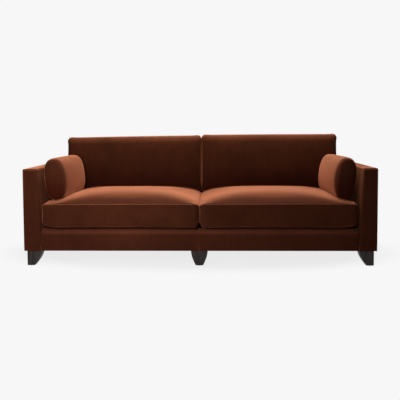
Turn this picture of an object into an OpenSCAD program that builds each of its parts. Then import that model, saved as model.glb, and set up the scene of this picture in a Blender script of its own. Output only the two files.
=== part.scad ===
// Tuxedo sofa: two seat cushions, two back cushions and two oval bolsters on a sprung timber frame.
// Millimetres. X runs across the width, Y from front to back and Z up from the floor.
// The origin is on the floor, under the middle of the sofa.

/* [Overall] */
// Width over the arms
sofa_w = 2400; // [1800:10:2800]
// Depth from the front of the arms to the outside back
sofa_d = 950; // [880:10:1100]
// Height of the arms and of the frame back above the floor
arm_h = 664; // [600:4:760]
// Height of the legs, with their glides
leg_h = 104; // [60:4:180]
// Height of the upholstered base between the legs and the seat cushions
base_h = 148; // [130:2:190]

/* [Arms and back] */
// Width of an arm at its top
arm_top_w = 94; // [86:1:120]
// Width of an arm at its foot
arm_foot_w = 128; // [122:1:170]
// Depth of the frame back at its top
back_top_d = 94; // [90:1:130]
// Lean of the inside back, in degrees
back_lean = 8; // [4:0.5:12]
// Radius of the upholstered edges
edge_r = 12; // [6:1:14]
// Radius of the rolled top edge of the front border
border_roll_r = 15; // [8:1:24]
// How far the front border lies behind the front of the arms
border_set = 4; // [2:1:8]

/* [Seat cushions] */
// Height of a seat cushion's border, from seam to seam
seat_border_h = 152; // [110:2:180]
// Rise of the crown above the upper seam
seat_crown = 68; // [30:2:80]
// Height of the rounded edge under the lower seam
seat_under_h = 18; // [8:1:30]
// Corner radius of a seat cushion in plan
seat_corner_r = 46; // [25:1:80]
// How far the lower corners lift off the base
seat_corner_lift = 22; // [0:1:40]
// Width at the outer end of a seat cushion's top that a bolster presses flat
seat_bed_w = 60; // [0:5:100]
// Clearance from a seat cushion to the foot of the arm
seat_side_gap = 5; // [4:1:20]
// Clearance behind a seat cushion
seat_rear_gap = 6; // [3:1:20]

/* [Back cushions] */
// Height of a back cushion along its lean
back_cushion_h = 412; // [360:2:480]
// Thickness of a back cushion at its border
back_border_t = 190; // [120:2:220]
// Rise of the crown on the face of a back cushion
back_crown = 26; // [10:1:40]
// Corner radius of a back cushion
back_corner_r = 26; // [15:1:60]

/* [Bolsters] */
// Width of a bolster's oval end
bolster_w = 146; // [100:2:180]
// Height of a bolster's oval end
bolster_h = 288; // [200:2:320]
// Clearance between a bolster's rear end and the back cushions
bolster_rear_gap = 4; // [2:1:20]
// Lean of a bolster towards its arm, in degrees
bolster_lean = 6; // [0:0.5:8]
// Turn of a bolster's rear end away from its arm, in degrees
bolster_turn = 3.5; // [0:0.5:5]
// Clearance between a bolster and its arm
bolster_arm_gap = 18; // [4:1:24]
// How far a bolster's front seam lies behind the front of the sofa
bolster_set = 84; // [60:2:110]

/* [Legs] */
// Width of a corner leg at its top
leg_top_w = 96; // [74:1:120]
// Width of a corner leg at its foot
leg_foot_w = 50; // [34:1:60]
// Width of a centre leg at its top
leg_mid_top_w = 114; // [80:1:150]
// Width of a centre leg at its foot
leg_mid_foot_w = 50; // [40:1:70]
// Depth of a leg at its top
leg_top_d = 80; // [70:1:100]
// Distance from a corner leg's outer face to the outside of the arm
leg_side_set = 20; // [10:1:28]
// Distance from a leg's front or rear face to the front or back of the sofa
leg_end_set = 10; // [6:1:16]

/* [Frame] */
// Thickness of the rails
rail_t = 28; // [22:1:32]
// Height of the rails
rail_h = 110; // [90:2:112]
// Width of the posts, across the arm
post_w = 45; // [36:1:48]
// Depth of the posts, from front to back
post_d = 60; // [45:1:80]
// Height of the top rails of the arms and the back
top_rail_h = 50; // [38:1:60]
// Depth of the leaning uprights in the back
upright_d = 38; // [28:1:40]
// Thickness of the outside and inside boards
board_t = 4; // [3:0.5:5]
// Thickness of the arm facings
facing_t = 9; // [6:1:12]

/* [Springs] */
// Number of sinuous springs under each seat cushion
springs_per_seat = 7; // [4:1:8]
// Diameter of the spring wire
wire_d = 4; // [3:0.2:5]
// Width of a spring over its loops
spring_w = 54; // [44:1:64]
// Number of loops along a spring
spring_loops = 22; // [16:2:28]

/* [Upholstery] */
// Thickness of the velvet and its lining
cover_t = 3; // [2:0.5:4]
// Thickness of the padding over the front of the arm facings
face_pad_t = 8; // [5:1:12]
// Thickness of the padding over the top rails
top_pad_t = 15; // [10:1:18]
// Thickness of the foam on the inside back
back_pad_t = 28; // [20:1:30]
// Thickness of the dust cover
dust_t = 1; // [0.5:0.25:2]

/* [Hidden] */

LEFT = -1;
RIGHT = 1;
SIDES = [LEFT, RIGHT];
$fn = 48;

// Colours
velvet = [0.42, 0.20, 0.10];
timber = [0.80, 0.66, 0.46];
board = [0.55, 0.42, 0.28];
foam = [0.93, 0.89, 0.74];
steel = [0.60, 0.61, 0.63];
black_cloth = [0.12, 0.12, 0.13];
dark_wood = [0.16, 0.12, 0.10];

// Clearances and overruns
cut_over = 2;
rest_gap = 0.3;
settle_gap = 0.05;
slope_gap = 0.02;
split_gap = 4;
bolt_clearance = 0.1;

// Levels
half_w = sofa_w / 2;
half_d = sofa_d / 2;
rail_z = leg_h + dust_t;
rail_top = rail_z + rail_h;
clip_plate_t = 1.5;
clip_clearance = 0.2;
clip_foot = 9;
clip_land = 24;
spring_z = rail_top + clip_plate_t;
tuck_z = spring_z + wire_d + clip_clearance + clip_plate_t;
deck_z = leg_h + base_h;
deck_cloth_t = 2;
top_skin = cover_t + top_pad_t;
frame_top = arm_h - top_skin;

// Planes of the frame, measured out from the middle
front_skin = cover_t + face_pad_t + facing_t;
rear_skin = cover_t + board_t;
rail_y = -half_d + front_skin;
post_x = half_w - rear_skin;
post_in_x = post_x - post_w;
rear_y = half_d - rear_skin;
facing_pad_t = face_pad_t + cover_t;

// Inner face of an arm at height z, measured out from the middle
arm_slope = (arm_foot_w - arm_top_w) / (arm_h - leg_h);
function arm_in_x(z) = half_w - arm_top_w - (arm_h - z) * arm_slope;

// Inside back at height z, and the front of the leaning uprights behind its foam
webbing_t = 2;
function back_in_y(z) = half_d - back_top_d - (arm_h - z) * tan(back_lean);
upright_set = (cover_t + back_pad_t + webbing_t) / cos(back_lean);
function upright_y(z) = back_in_y(z) + upright_set;
upright_run = upright_d / cos(back_lean);
webbing_run = webbing_t / cos(back_lean);
function foam_back_y(z) = upright_y(z) - webbing_run - slope_gap;

// Convex outline with round corners: each corner is [x, y, radius], counter-clockwise
function unit(v) = v / norm(v);
function corner_in(p, q) = unit([q.x - p.x, q.y - p.y]);
function corner_half(p, a, b) = acos(corner_in(p, a) * corner_in(p, b)) / 2;
module rounded_outline(corners) {
    n = len(corners);
    before = [for (i = [0 : n - 1]) corners[(i + n - 1) % n]];
    after = [for (i = [0 : n - 1]) corners[(i + 1) % n]];
    polygon([for (i = [0 : n - 1]) each
        let (p = corners[i],
            run = p.z / tan(corner_half(p, before[i], after[i])))
        p.z == 0 ? [[p.x, p.y]]
            : [[p.x, p.y] + run * corner_in(p, before[i]), [p.x, p.y] + run * corner_in(p, after[i])]]);
    for (i = [0 : n - 1])
        if (corners[i].z > 0) {
            p = corners[i];
            reach = p.z / sin(corner_half(p, before[i], after[i]));
            way = unit(corner_in(p, before[i]) + corner_in(p, after[i]));
            translate([p.x, p.y] + reach * way)
                circle(r = p.z);
        }
}

// Stands an outline drawn in X and Z along Y, from y0 to y1
module along_y(y0, y1) {
    translate([0, y1, 0])
        rotate([90, 0, 0])
            linear_extrude(y1 - y0)
                children();
}

// Stands an outline drawn in Y and Z along X, from x0 to x1
module along_x(x0, x1) {
    translate([x0, 0, 0])
        rotate([90, 0, 90])
            linear_extrude(x1 - x0)
                children();
}

module box(low, high) {
    translate(low)
        cube(high - low);
}

// The right piece as drawn, or its mirror on the left
module on_side(side) {
    if (side == LEFT)
        mirror([1, 0, 0])
            children();
    else
        children();
}

// Section of the right arm, drawn in X and Z and drawn in by a skin
module arm_section(skin, base_z) {
    top = arm_h - skin;
    out = half_w - skin;
    rounded_outline([
        [arm_in_x(base_z) + skin, base_z, 0],
        [out, base_z, 0],
        [out, top, edge_r - skin],
        [arm_in_x(top) + skin, top, edge_r - skin]]);
}

// Space taken by the right arm, with sharp edges, which the base and the back butt against
module arm_block() {
    along_y(-half_d - cut_over, half_d + cut_over)
        polygon([
            [arm_in_x(leg_h - cut_over) - slope_gap, leg_h - cut_over],
            [half_w + cut_over, leg_h - cut_over],
            [half_w + cut_over, arm_h + cut_over],
            [arm_in_x(arm_h + cut_over) - slope_gap, arm_h + cut_over]]);
}

// Space behind the foam of the inside back, up to the posts, which the arm's inside leaves free
module behind_back_foam() {
    low = leg_h - cut_over;
    along_x(-cut_over, post_in_x)
        polygon([
            [foam_back_y(low), low],
            [half_d + cut_over, low],
            [half_d + cut_over, frame_top],
            [foam_back_y(frame_top), frame_top]]);
}

// Space of the base inside an arm, below the seat deck and behind the arm's facing
module below_deck() {
    box([-cut_over, rail_y, leg_h - cut_over], [post_in_x, half_d + cut_over, tuck_z]);
}

module between_arms() {
    difference() {
        children();
        for (side = SIDES)
            on_side(side)
                arm_block();
    }
}

// Timber frame

bolt_d = 8;
bolt_bore = bolt_d + 2 * bolt_clearance;
bolt_in_frame = 45;
bolt_in_leg = 40;
leg_bolt_x = post_x - post_w / 2;
leg_bolt_front_y = rail_y + post_d / 2;
leg_bolt_back_y = rear_y - post_d / 2;
rail_bolt_front_y = rail_y + rail_t / 2;
rail_bolt_back_y = rear_y - rail_t / 2;

module frame_bore(x, y) {
    translate([x, y, rail_z - cut_over])
        cylinder(d = bolt_bore, h = bolt_in_frame + cut_over);
}

module front_rail() {
    color(timber)
        difference() {
            box([-post_in_x, rail_y, rail_z], [post_in_x, rail_y + rail_t, rail_top]);
            frame_bore(0, rail_bolt_front_y);
        }
}

module back_rail() {
    color(timber)
        difference() {
            box([-post_in_x, rear_y - rail_t, rail_z], [post_in_x, rear_y, rail_top]);
            frame_bore(0, rail_bolt_back_y);
        }
}

side_rail_x = post_x - rail_t;
seat_rail_y = upright_y(rail_top) - clip_land;

// The springs hook onto the front of this rail, and the uprights of the back stand behind them
module seat_rail_rear() {
    color(timber)
        box([-side_rail_x, seat_rail_y, rail_z],
            [side_rail_x, upright_y(rail_top) + upright_run, rail_top]);
}

module side_rail(side) {
    color(timber)
        on_side(side)
            box([side_rail_x, rail_y + post_d, rail_z], [post_x, rear_y - post_d, rail_top]);
}

centre_rail_w = 40;

module centre_rail() {
    color(timber)
        box([-centre_rail_w / 2, rail_y + rail_t, rail_z],
            [centre_rail_w / 2, seat_rail_y, rail_top]);
}

module arm_post(side, y0, bolt_y) {
    color(timber)
        on_side(side)
            difference() {
                box([post_in_x, y0, rail_z], [post_x, y0 + post_d, frame_top - top_rail_h]);
                frame_bore(leg_bolt_x, bolt_y);
            }
}

module arm_top_rail(side) {
    color(timber)
        on_side(side)
            box([post_in_x, rail_y, frame_top - top_rail_h], [post_x, rear_y, frame_top]);
}

// The top rail's front is planed to the lean of the back
module back_top_rail() {
    low = frame_top - top_rail_h;
    color(timber)
        along_x(-post_in_x, post_in_x)
            polygon([
                [upright_y(low), low],
                [rear_y, low],
                [rear_y, frame_top],
                [upright_y(frame_top), frame_top]]);
}

upright_w = 45;
uprights_per_side = 2;
upright_pitch = (post_in_x - upright_w / 2) / uprights_per_side;

module back_uprights() {
    low = rail_top;
    high = frame_top - top_rail_h;
    color(timber)
        for (i = [-uprights_per_side : uprights_per_side])
            along_x(i * upright_pitch - upright_w / 2, i * upright_pitch + upright_w / 2)
                polygon([
                    [upright_y(low), low],
                    [upright_y(low) + upright_run, low],
                    [upright_y(high) + upright_run, high],
                    [upright_y(high), high]]);
}

block_w = 70;
block_h = 50;

// Triangular blocks in the front corners, and square ones between the two rear rails
module corner_blocks() {
    color(timber)
        for (side = SIDES)
            on_side(side) {
                translate([post_in_x, rail_y + rail_t, rail_z])
                    linear_extrude(block_h)
                        polygon([[0, 0], [0, block_w], [-block_w, 0]]);
                box([post_in_x - block_w, upright_y(rail_top) + upright_run, rail_z],
                    [post_in_x, rear_y - rail_t, rail_z + block_h]);
            }
}

// Boards

module arm_outer_board(side) {
    color(board)
        on_side(side)
            box([post_x, rail_y, rail_z], [post_x + board_t, rear_y, frame_top]);
}

// The board ends where the webbing and foam of the inside back begin
module arm_inner_board(side) {
    color(board)
        on_side(side)
            along_x(post_in_x - board_t, post_in_x)
                polygon([
                    [rail_y, tuck_z],
                    [foam_back_y(tuck_z), tuck_z],
                    [foam_back_y(frame_top), frame_top],
                    [rail_y, frame_top]]);
}

// Shaped board behind the front of the arm, as wide as the padded arm less its skin
module facing_shape() {
    along_y(rail_y - facing_t, rail_y)
        polygon([
            [arm_in_x(rail_z) + facing_pad_t, rail_z],
            [post_x + board_t, rail_z],
            [post_x + board_t, frame_top],
            [arm_in_x(frame_top) + facing_pad_t, frame_top]]);
}

module arm_facing(side) {
    color(board)
        on_side(side)
            facing_shape();
}

module back_outer_board() {
    color(board)
        box([-post_x - board_t, rear_y, rail_z], [post_x + board_t, rear_y + board_t, frame_top]);
}

// Springs

spring_y0 = rail_y + rail_t / 2;
spring_y1 = seat_rail_y + clip_land / 2;
loop_pitch = (spring_y1 - spring_y0) / spring_loops;
turn_r = loop_pitch / 2;
turn_steps = 3;
run_half = spring_w / 2 - wire_d / 2 - turn_r;
spring_pitch = (arm_in_x(rail_top) - centre_rail_w / 2) / (springs_per_seat + 1);

// The wire runs across, turns back on the right, runs across, turns back on the left
function turn_side(i) = i % 2 == 0 ? 1 : -1;
function turn_arc(i, r) = [for (k = [0 : turn_steps])
    let (a = 180 * k / turn_steps - 90)
    [turn_side(i) * (run_half + r * cos(a)), spring_y0 + i * loop_pitch + turn_r + r * sin(a)]];

// One edge of the wire from end to end: edge is 1 on its left and -1 on its right
function wire_edge(edge) = concat(
    [[-run_half, spring_y0 + edge * wire_d / 2]],
    [for (i = [0 : spring_loops - 1]) each turn_arc(i, turn_r - edge * turn_side(i) * wire_d / 2)],
    [[turn_side(spring_loops) * run_half, spring_y1 + turn_side(spring_loops) * edge * wire_d / 2]]);
function backwards(list) = [for (i = [len(list) - 1 : -1 : 0]) list[i]];

function spring_x(side, i) = side * (centre_rail_w / 2 + i * spring_pitch);

module springs(side) {
    color(steel)
        for (i = [1 : springs_per_seat])
            translate([spring_x(side, i), 0, spring_z])
                linear_extrude(wire_d)
                    polygon(concat(wire_edge(1), backwards(wire_edge(-1))));
}

clip_w = 14;

// A folded clip: its foot lies on the rail, and its lip closes over the wire from the far side
module clip(y, way) {
    wall = wire_d / 2 + clip_clearance;
    translate([0, y, rail_top])
        along_x(-clip_w / 2, clip_w / 2)
            polygon([
                [-way * clip_foot, 0],
                [way * (wall + clip_plate_t), 0],
                [way * (wall + clip_plate_t), tuck_z - rail_top],
                [-way * wire_d / 2, tuck_z - rail_top],
                [-way * wire_d / 2, tuck_z - rail_top - clip_plate_t],
                [way * wall, tuck_z - rail_top - clip_plate_t],
                [way * wall, clip_plate_t],
                [-way * clip_foot, clip_plate_t]]);
}

module spring_clips() {
    color(steel)
        for (side = SIDES, i = [1 : springs_per_seat])
            translate([spring_x(side, i), 0, 0]) {
                clip(spring_y0, 1);
                clip(spring_y1, -1);
            }
}

// Back webbing

strap_w = 50;
strap_count = 5;
strap_space = (frame_top - rail_top - strap_count * strap_w) / (strap_count + 1);

module back_webbing() {
    color(black_cloth)
        for (i = [0 : strap_count - 1]) {
            low = rail_top + strap_space + i * (strap_w + strap_space);
            high = low + strap_w;
            along_x(-post_in_x, post_in_x)
                polygon([
                    [upright_y(low) - webbing_run, low],
                    [upright_y(low) - slope_gap, low],
                    [upright_y(high) - slope_gap, high],
                    [upright_y(high) - webbing_run, high]]);
        }
}

// Padding

module arm_pad(side) {
    color(foam)
        on_side(side)
            difference() {
                along_y(-half_d + cover_t, rear_y + board_t)
                    arm_section(cover_t + slope_gap, rail_z);
                box([post_in_x - board_t, rail_y, leg_h], [half_w, half_d, frame_top]);
                facing_shape();
                below_deck();
                behind_back_foam();
            }
}

// Outline of the inside back in Y and Z, drawn in by the cover
module back_outline(skin) {
    run = skin / cos(back_lean);
    top = arm_h - skin;
    rounded_outline([
        [back_in_y(tuck_z) + run, tuck_z, 0],
        [half_d - cover_t, tuck_z, 0],
        [half_d - cover_t, top, 0],
        [back_in_y(top) + run, top, edge_r - skin]]);
}

module back_pad() {
    color(foam)
        between_arms()
            difference() {
                along_x(-half_w, half_w)
                    back_outline(cover_t + slope_gap);
                mirror([1, 0, 0])
                    behind_back_foam();
                behind_back_foam();
            }
}

border_y = -half_d + border_set;
border_back_y = rail_y + rail_t + clip_foot;

// Outline of the front border in Y and Z, drawn in by the cover
module border_outline(skin, low, back) {
    rounded_outline([
        [border_y + skin, low, 0],
        [back, low, 0],
        [back, deck_z - skin, 0],
        [border_y + skin, deck_z - skin, border_roll_r - skin]]);
}

module border_pad() {
    color(foam)
        between_arms()
            along_x(-half_w, half_w)
                difference() {
                    border_outline(cover_t, rail_z, border_back_y);
                    translate([rail_y, leg_h])
                        square([border_back_y - rail_y + cut_over, tuck_z - leg_h]);
                }
}

module deck_pad() {
    high = deck_z - deck_cloth_t;
    color(foam)
        between_arms()
            along_x(-half_w, half_w)
                polygon([
                    [border_back_y, tuck_z],
                    [back_in_y(tuck_z) - slope_gap, tuck_z],
                    [back_in_y(high) - slope_gap, high],
                    [border_back_y, high]]);
}

// Covers

// The arm's cover goes over its front, outside, top and inside, and tucks in above the springs
module arm_cover(side) {
    color(velvet)
        on_side(side)
            difference() {
                along_y(-half_d, half_d - cover_t)
                    arm_section(0, leg_h);
                along_y(-half_d + cover_t, half_d + cut_over)
                    arm_section(cover_t, leg_h - cut_over);
                below_deck();
                behind_back_foam();
            }
}

module back_cover_inside() {
    color(velvet)
        between_arms()
            along_x(-half_w, half_w)
                difference() {
                    back_outline(0);
                    back_outline(cover_t);
                }
}

module back_cover_outside() {
    color(velvet)
        along_y(half_d - cover_t, half_d)
            rounded_outline([
                [-half_w, leg_h, 0],
                [half_w, leg_h, 0],
                [half_w, arm_h, edge_r],
                [-half_w, arm_h, edge_r]]);
}

seam_w = 2;
seam_depth = 1.5;

// The border's cover is two lengths of velvet, sewn at the middle
module border_cover() {
    color(velvet)
        difference() {
            between_arms()
                along_x(-half_w, half_w)
                    difference() {
                        border_outline(0, leg_h, border_back_y);
                        border_outline(cover_t, leg_h - cut_over, border_back_y + cut_over);
                    }
            box([-seam_w / 2, border_y - cut_over, leg_h - cut_over],
                [seam_w / 2, border_y + seam_depth, deck_z - border_roll_r]);
        }
}

module deck_cloth() {
    low = deck_z - deck_cloth_t;
    color(black_cloth)
        between_arms()
            along_x(-half_w, half_w)
                polygon([
                    [border_back_y, low],
                    [back_in_y(low) - slope_gap, low],
                    [back_in_y(deck_z) - slope_gap, deck_z],
                    [border_back_y, deck_z]]);
}

module dust_cover() {
    color(black_cloth)
        difference() {
            box([-half_w + cover_t, rail_y, leg_h],
                [half_w - cover_t, half_d - cover_t, rail_z]);
            for (side = SIDES, end_y = [-half_d + leg_end_set, half_d - leg_end_set - leg_top_d])
                on_side(side)
                    box([half_w - leg_side_set - leg_top_w, end_y, leg_h - cut_over],
                        [half_w - leg_side_set, end_y + leg_top_d, rail_z + cut_over]);
            for (end_y = [-half_d + leg_end_set, half_d - leg_end_set - leg_top_d])
                box([-leg_mid_top_w / 2, end_y, leg_h - cut_over],
                    [leg_mid_top_w / 2, end_y + leg_top_d, rail_z + cut_over]);
        }
}

// Legs

glide_t = 3;
glide_d = 30;
leg_foot_d = 48;
leg_steps = 8;
leg_curve = 1.75;

// How much of its taper the leg has lost at a share of its height below the top
function leg_taper(share) = pow(share, leg_curve);
leg_shares = [for (i = [0 : leg_steps]) i / leg_steps];
function leg_level(share) = rail_z - share * (rail_z - glide_t);

// Side of a leg in one direction: straight on the low side, curved in on the high side
function curved_side(from, top, foot) = [for (s = leg_shares)
    [from + top - (top - foot) * leg_taper(s), leg_level(s)]];

module corner_leg_outline(from, top, foot) {
    polygon(concat(
        [[from, leg_level(0)], [from, leg_level(1)]],
        backwards(curved_side(from, top, foot))));
}

module centre_leg_outline(top, foot) {
    polygon(concat(
        backwards(curved_side(-top / 2, top, (top + foot) / 2)),
        [for (p = curved_side(-top / 2, top, (top + foot) / 2)) [-p.x, p.y]]));
}

// The legs at the front as drawn, and those at the back as their mirror
module leg_depth_outline() {
    along_x(-half_w, half_w)
        corner_leg_outline(-half_d + leg_end_set, leg_top_d, leg_foot_d);
}

module leg_bore(x, y) {
    translate([x, y, rail_z - bolt_in_leg])
        cylinder(d = bolt_bore, h = bolt_in_leg + cut_over);
}

module corner_leg(side, back) {
    color(dark_wood)
        on_side(side)
            difference() {
                intersection() {
                    translate([half_w - leg_side_set, 0, 0])
                        mirror([1, 0, 0])
                            along_y(-half_d, half_d)
                                corner_leg_outline(0, leg_top_w, leg_foot_w);
                    mirror([0, back ? 1 : 0, 0])
                        leg_depth_outline();
                }
                leg_bore(leg_bolt_x, back ? leg_bolt_back_y : leg_bolt_front_y);
            }
}

module centre_leg(back) {
    color(dark_wood)
        difference() {
            intersection() {
                along_y(-half_d, half_d)
                    centre_leg_outline(leg_mid_top_w, leg_mid_foot_w);
                mirror([0, back ? 1 : 0, 0])
                    leg_depth_outline();
            }
            leg_bore(0, back ? rail_bolt_back_y : rail_bolt_front_y);
        }
}

bolt_places = [
    [-leg_bolt_x, leg_bolt_front_y], [0, rail_bolt_front_y], [leg_bolt_x, leg_bolt_front_y],
    [-leg_bolt_x, leg_bolt_back_y], [0, rail_bolt_back_y], [leg_bolt_x, leg_bolt_back_y]];

module leg_bolts() {
    color(steel)
        for (p = bolt_places)
            translate([p.x, p.y, rail_z - bolt_in_leg])
                cylinder(d = bolt_d, h = bolt_in_leg + bolt_in_frame);
}

glide_x = half_w - leg_side_set - leg_foot_w / 2;
glide_y = half_d - leg_end_set - leg_foot_d / 2;

module glides() {
    color(black_cloth)
        for (x = [-glide_x, 0, glide_x], y = [-glide_y, glide_y])
            translate([x, y, 0])
                cylinder(d = glide_d, h = glide_t);
}

// Cushions

side_steps = 6;
corner_steps = 4;
border_steps = 4;
cushion_draw = 5;
cushion_bulge = 7;
// Size of each ring of the crown, from the upper seam inwards
crown_shares = [0.985, 0.94, 0.88, 0.81, 0.73, 0.6, 0.35];
// Size of the rings under the lower seam, and their height as a share of the rounded edge
under_shares = [[0.94, 0], [0.985, 0.4]];
crown_power = 3.4;
seam_fade_power = 24;
corner_power = 6;

function quarter_turn(p, q) = q == 0 ? p : quarter_turn([-p.y, p.x], q - 1);

// Plan of a cushion: its sides pull in between the corners, which are round
function cushion_plan(hw, hd, r) = [for (q = [0 : 3]) each
    let (a = q % 2 == 0 ? hw : hd, b = q % 2 == 0 ? hd : hw)
    concat(
        [for (k = [0 : side_steps])
            let (u = 2 * k / side_steps - 1)
            quarter_turn([a - cushion_draw * (1 - u * u), u * (b - r)], q)],
        [for (k = [1 : corner_steps - 1])
            let (t = 90 * k / corner_steps)
            quarter_turn([a - r + r * cos(t), b - r + r * sin(t)], q)])];

function crown_fall(u) = abs(u) >= 1 ? 0 : 1 - pow(abs(u), crown_power);
// The crown ends short of the outer side by the width of the bed that a bolster presses flat
function crown_rise(x, y, hw, hd, bed) = crown_fall(x / (x > 0 ? hw - bed : hw)) * crown_fall(y / hd);
function corner_weight(p, hw, hd) = pow(abs(p.x * p.y) / (hw * hd), corner_power);

// Rings of a boxed cushion from its flat underside up to its crown
function cushion_rings(hw, hd, r, under_h, border_h, crown, lift, bed) =
    let (plan = cushion_plan(hw, hd, r), seam_z = under_h + border_h)
    concat(
        [for (u = under_shares)
            [for (p = plan) [p.x * u[0], p.y * u[0], under_h * u[1] + u[1] * lift * corner_weight(p, hw, hd)]]],
        [for (k = [0 : border_steps])
            let (up = k / border_steps,
                out = cushion_bulge * sin(180 * up),
                wide = cushion_plan(hw + out, hd + out, r + out))
            [for (p = wide) [p.x, p.y, under_h + up * border_h + (1 - up) * lift * corner_weight(p, hw, hd)]]],
        [for (s = crown_shares)
            [for (p = plan) [p.x * s, p.y * s,
                seam_z + crown * crown_rise(p.x * s, p.y * s, hw, hd, bed)
                    * (1 - pow(s, seam_fade_power))]]]);

// Closes a stack of rings with a point at each end
module ring_body(rings, low, high) {
    n = len(rings[0]);
    m = len(rings);
    points = concat([low, high], [for (ring = rings) each ring]);
    function at(i, k) = 2 + i * n + k % n;
    polyhedron(points, concat(
        [for (k = [0 : n - 1]) [0, at(0, k), at(0, k + 1)]],
        [for (i = [0 : m - 2], k = [0 : n - 1]) each
            [[at(i, k), at(i + 1, k), at(i + 1, k + 1)], [at(i, k), at(i + 1, k + 1), at(i, k + 1)]]],
        [for (k = [0 : n - 1]) [1, at(m - 1, k + 1), at(m - 1, k)]]));
}

module cushion_body(hw, hd, r, under_h, border_h, crown, lift, bed) {
    ring_body(cushion_rings(hw, hd, r, under_h, border_h, crown, lift, bed),
        [0, 0, 0], [0, 0, under_h + border_h + crown]);
}

// Foam or fibre core, as far inside the seams as the wrap is thick
wrap_t = 30;

module cushion_core(hw, hd, height) {
    box([-hw + wrap_t, -hd + wrap_t, wrap_t], [hw - wrap_t, hd - wrap_t, height - wrap_t]);
}

// Seat cushions

seat_front_set = 2;
seat_w = arm_in_x(deck_z) - seat_side_gap - split_gap / 2;
seat_front_y = -half_d + seat_front_set;
seat_d = back_in_y(deck_z) - seat_rear_gap - seat_front_y;
seat_x = split_gap / 2 + seat_w / 2;
seat_y = seat_front_y + seat_d / 2;
seat_z = deck_z + rest_gap;
seat_hw = seat_w / 2 - cushion_bulge;
seat_hd = seat_d / 2 - cushion_bulge;
seat_h = seat_under_h + seat_border_h;

// Height of the right seat cushion's top at a place inside its seams, and the deck outside them
function seat_top_z(x, y) = abs(x - seat_x) >= seat_hw || abs(y - seat_y) >= seat_hd ? deck_z
    : seat_z + seat_h + seat_crown * crown_rise(x - seat_x, y - seat_y, seat_hw, seat_hd, seat_bed_w);

module at_seat(side) {
    on_side(side)
        translate([seat_x, seat_y, seat_z])
            children();
}

module seat_cushion(side) {
    color(velvet)
        at_seat(side)
            difference() {
                cushion_body(seat_hw, seat_hd, seat_corner_r, seat_under_h, seat_border_h,
                    seat_crown, seat_corner_lift, seat_bed_w);
                cushion_core(seat_hw, seat_hd, seat_h);
            }
}

module seat_foam(side) {
    color(foam)
        at_seat(side)
            cushion_core(seat_hw, seat_hd, seat_h);
}

// Back cushions: they stand on the seat cushions and lean on the inside back

back_under_h = 8;
back_corner_lift = 6;
back_hw = seat_hw;
back_hd = back_cushion_h / 2 - cushion_bulge;
back_t = back_under_h + back_border_t;
back_rings = cushion_rings(back_hw, back_hd, back_corner_r, back_under_h, back_border_t,
    back_crown, back_corner_lift, 0);
back_points = concat([[0, 0, back_t + back_crown]], [for (ring = back_rings) each ring]);

// A point of the cushion once it leans back and its underside's middle is at height z
function back_place_y(z) = back_in_y(z) - rest_gap / cos(back_lean);
function lean_point(p, z) = [
    seat_x + p.x,
    back_place_y(z) + p.y * sin(back_lean) - p.z * cos(back_lean),
    z + p.y * cos(back_lean) + p.z * sin(back_lean)];
function back_clearance(z) = min([for (p = back_points)
    let (w = lean_point(p, z))
    w.z - seat_top_z(w.x, w.y)]);
settle_steps = 4;
function settle_back(z, n) = n == 0 ? z : settle_back(z - back_clearance(z) + settle_gap, n - 1);
back_z = settle_back(seat_z + seat_h + seat_crown + back_cushion_h / 2, settle_steps);
back_front_y = min([for (p = back_points) lean_point(p, back_z).y]);

module at_back(side) {
    on_side(side)
        translate([seat_x, back_place_y(back_z), back_z])
            rotate([90 - back_lean, 0, 0])
                children();
}

module back_cushion(side) {
    color(velvet)
        at_back(side)
            difference() {
                cushion_body(back_hw, back_hd, back_corner_r, back_under_h, back_border_t,
                    back_crown, back_corner_lift, 0);
                cushion_core(back_hw, back_hd, back_t);
            }
}

module back_fill(side) {
    color(foam)
        at_back(side)
            cushion_core(back_hw, back_hd, back_t);
}

// Bolsters: oval in section, on the seat cushions and against the arms

oval_steps = 28;
oval_power = 2.3;
bolster_end_rise = 10;
bolster_swell = 3;
// Size of the end's rings and how far each has risen from the seam
end_shares = [[0.45, 0.92], [0.8, 0.6], [0.95, 0.2]];
body_shares = [0, 0.08, 0.3, 0.5, 0.7, 0.92, 1];
bolster_front_y = -half_d + bolster_set;
bolster_l = back_front_y - bolster_rear_gap - bolster_end_rise - bolster_front_y;
bolster_y = bolster_front_y + bolster_l / 2;

function signed_power(v, e) = sign(v) * pow(abs(v), e);
function oval_ring(size, swell, y) = [for (k = [0 : oval_steps - 1])
    let (t = -360 * k / oval_steps)
    [size * (bolster_w / 2 + swell) * signed_power(cos(t), 2 / oval_power), y,
        size * (bolster_h / 2 + swell) * signed_power(sin(t), 2 / oval_power)]];
bolster_rings = concat(
    [for (e = end_shares) oval_ring(e[0], 0, -bolster_l / 2 - e[1] * bolster_end_rise)],
    [for (s = body_shares) oval_ring(1, bolster_swell * sin(180 * s), (s - 0.5) * bolster_l)],
    [for (e = backwards(end_shares)) oval_ring(e[0], 0, bolster_l / 2 + e[1] * bolster_end_rise)]);
bolster_points = [for (ring = bolster_rings) each ring];

// A point of the bolster once it leans to its arm and turns in at the rear
function lean_to_arm(p) = [p.x * cos(bolster_lean) + p.z * sin(bolster_lean), p.y,
    -p.x * sin(bolster_lean) + p.z * cos(bolster_lean)];
function turn_in(p) = [p.x * cos(bolster_turn) - p.y * sin(bolster_turn),
    p.x * sin(bolster_turn) + p.y * cos(bolster_turn), p.z];
bolster_turned = [for (p = bolster_points) turn_in(lean_to_arm(p))];

// Across, the bolster comes to its clearance from the arm; in height, it settles on the seat
bolster_guess_z = seat_z + seat_h + bolster_h / 2;
bolster_x = min([for (p = bolster_turned) arm_in_x(min(p.z + bolster_guess_z, arm_h)) - p.x])
    - bolster_arm_gap;
bolster_z = max([for (p = bolster_turned) seat_top_z(bolster_x + p.x, bolster_y + p.y) - p.z])
    + settle_gap;

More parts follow.
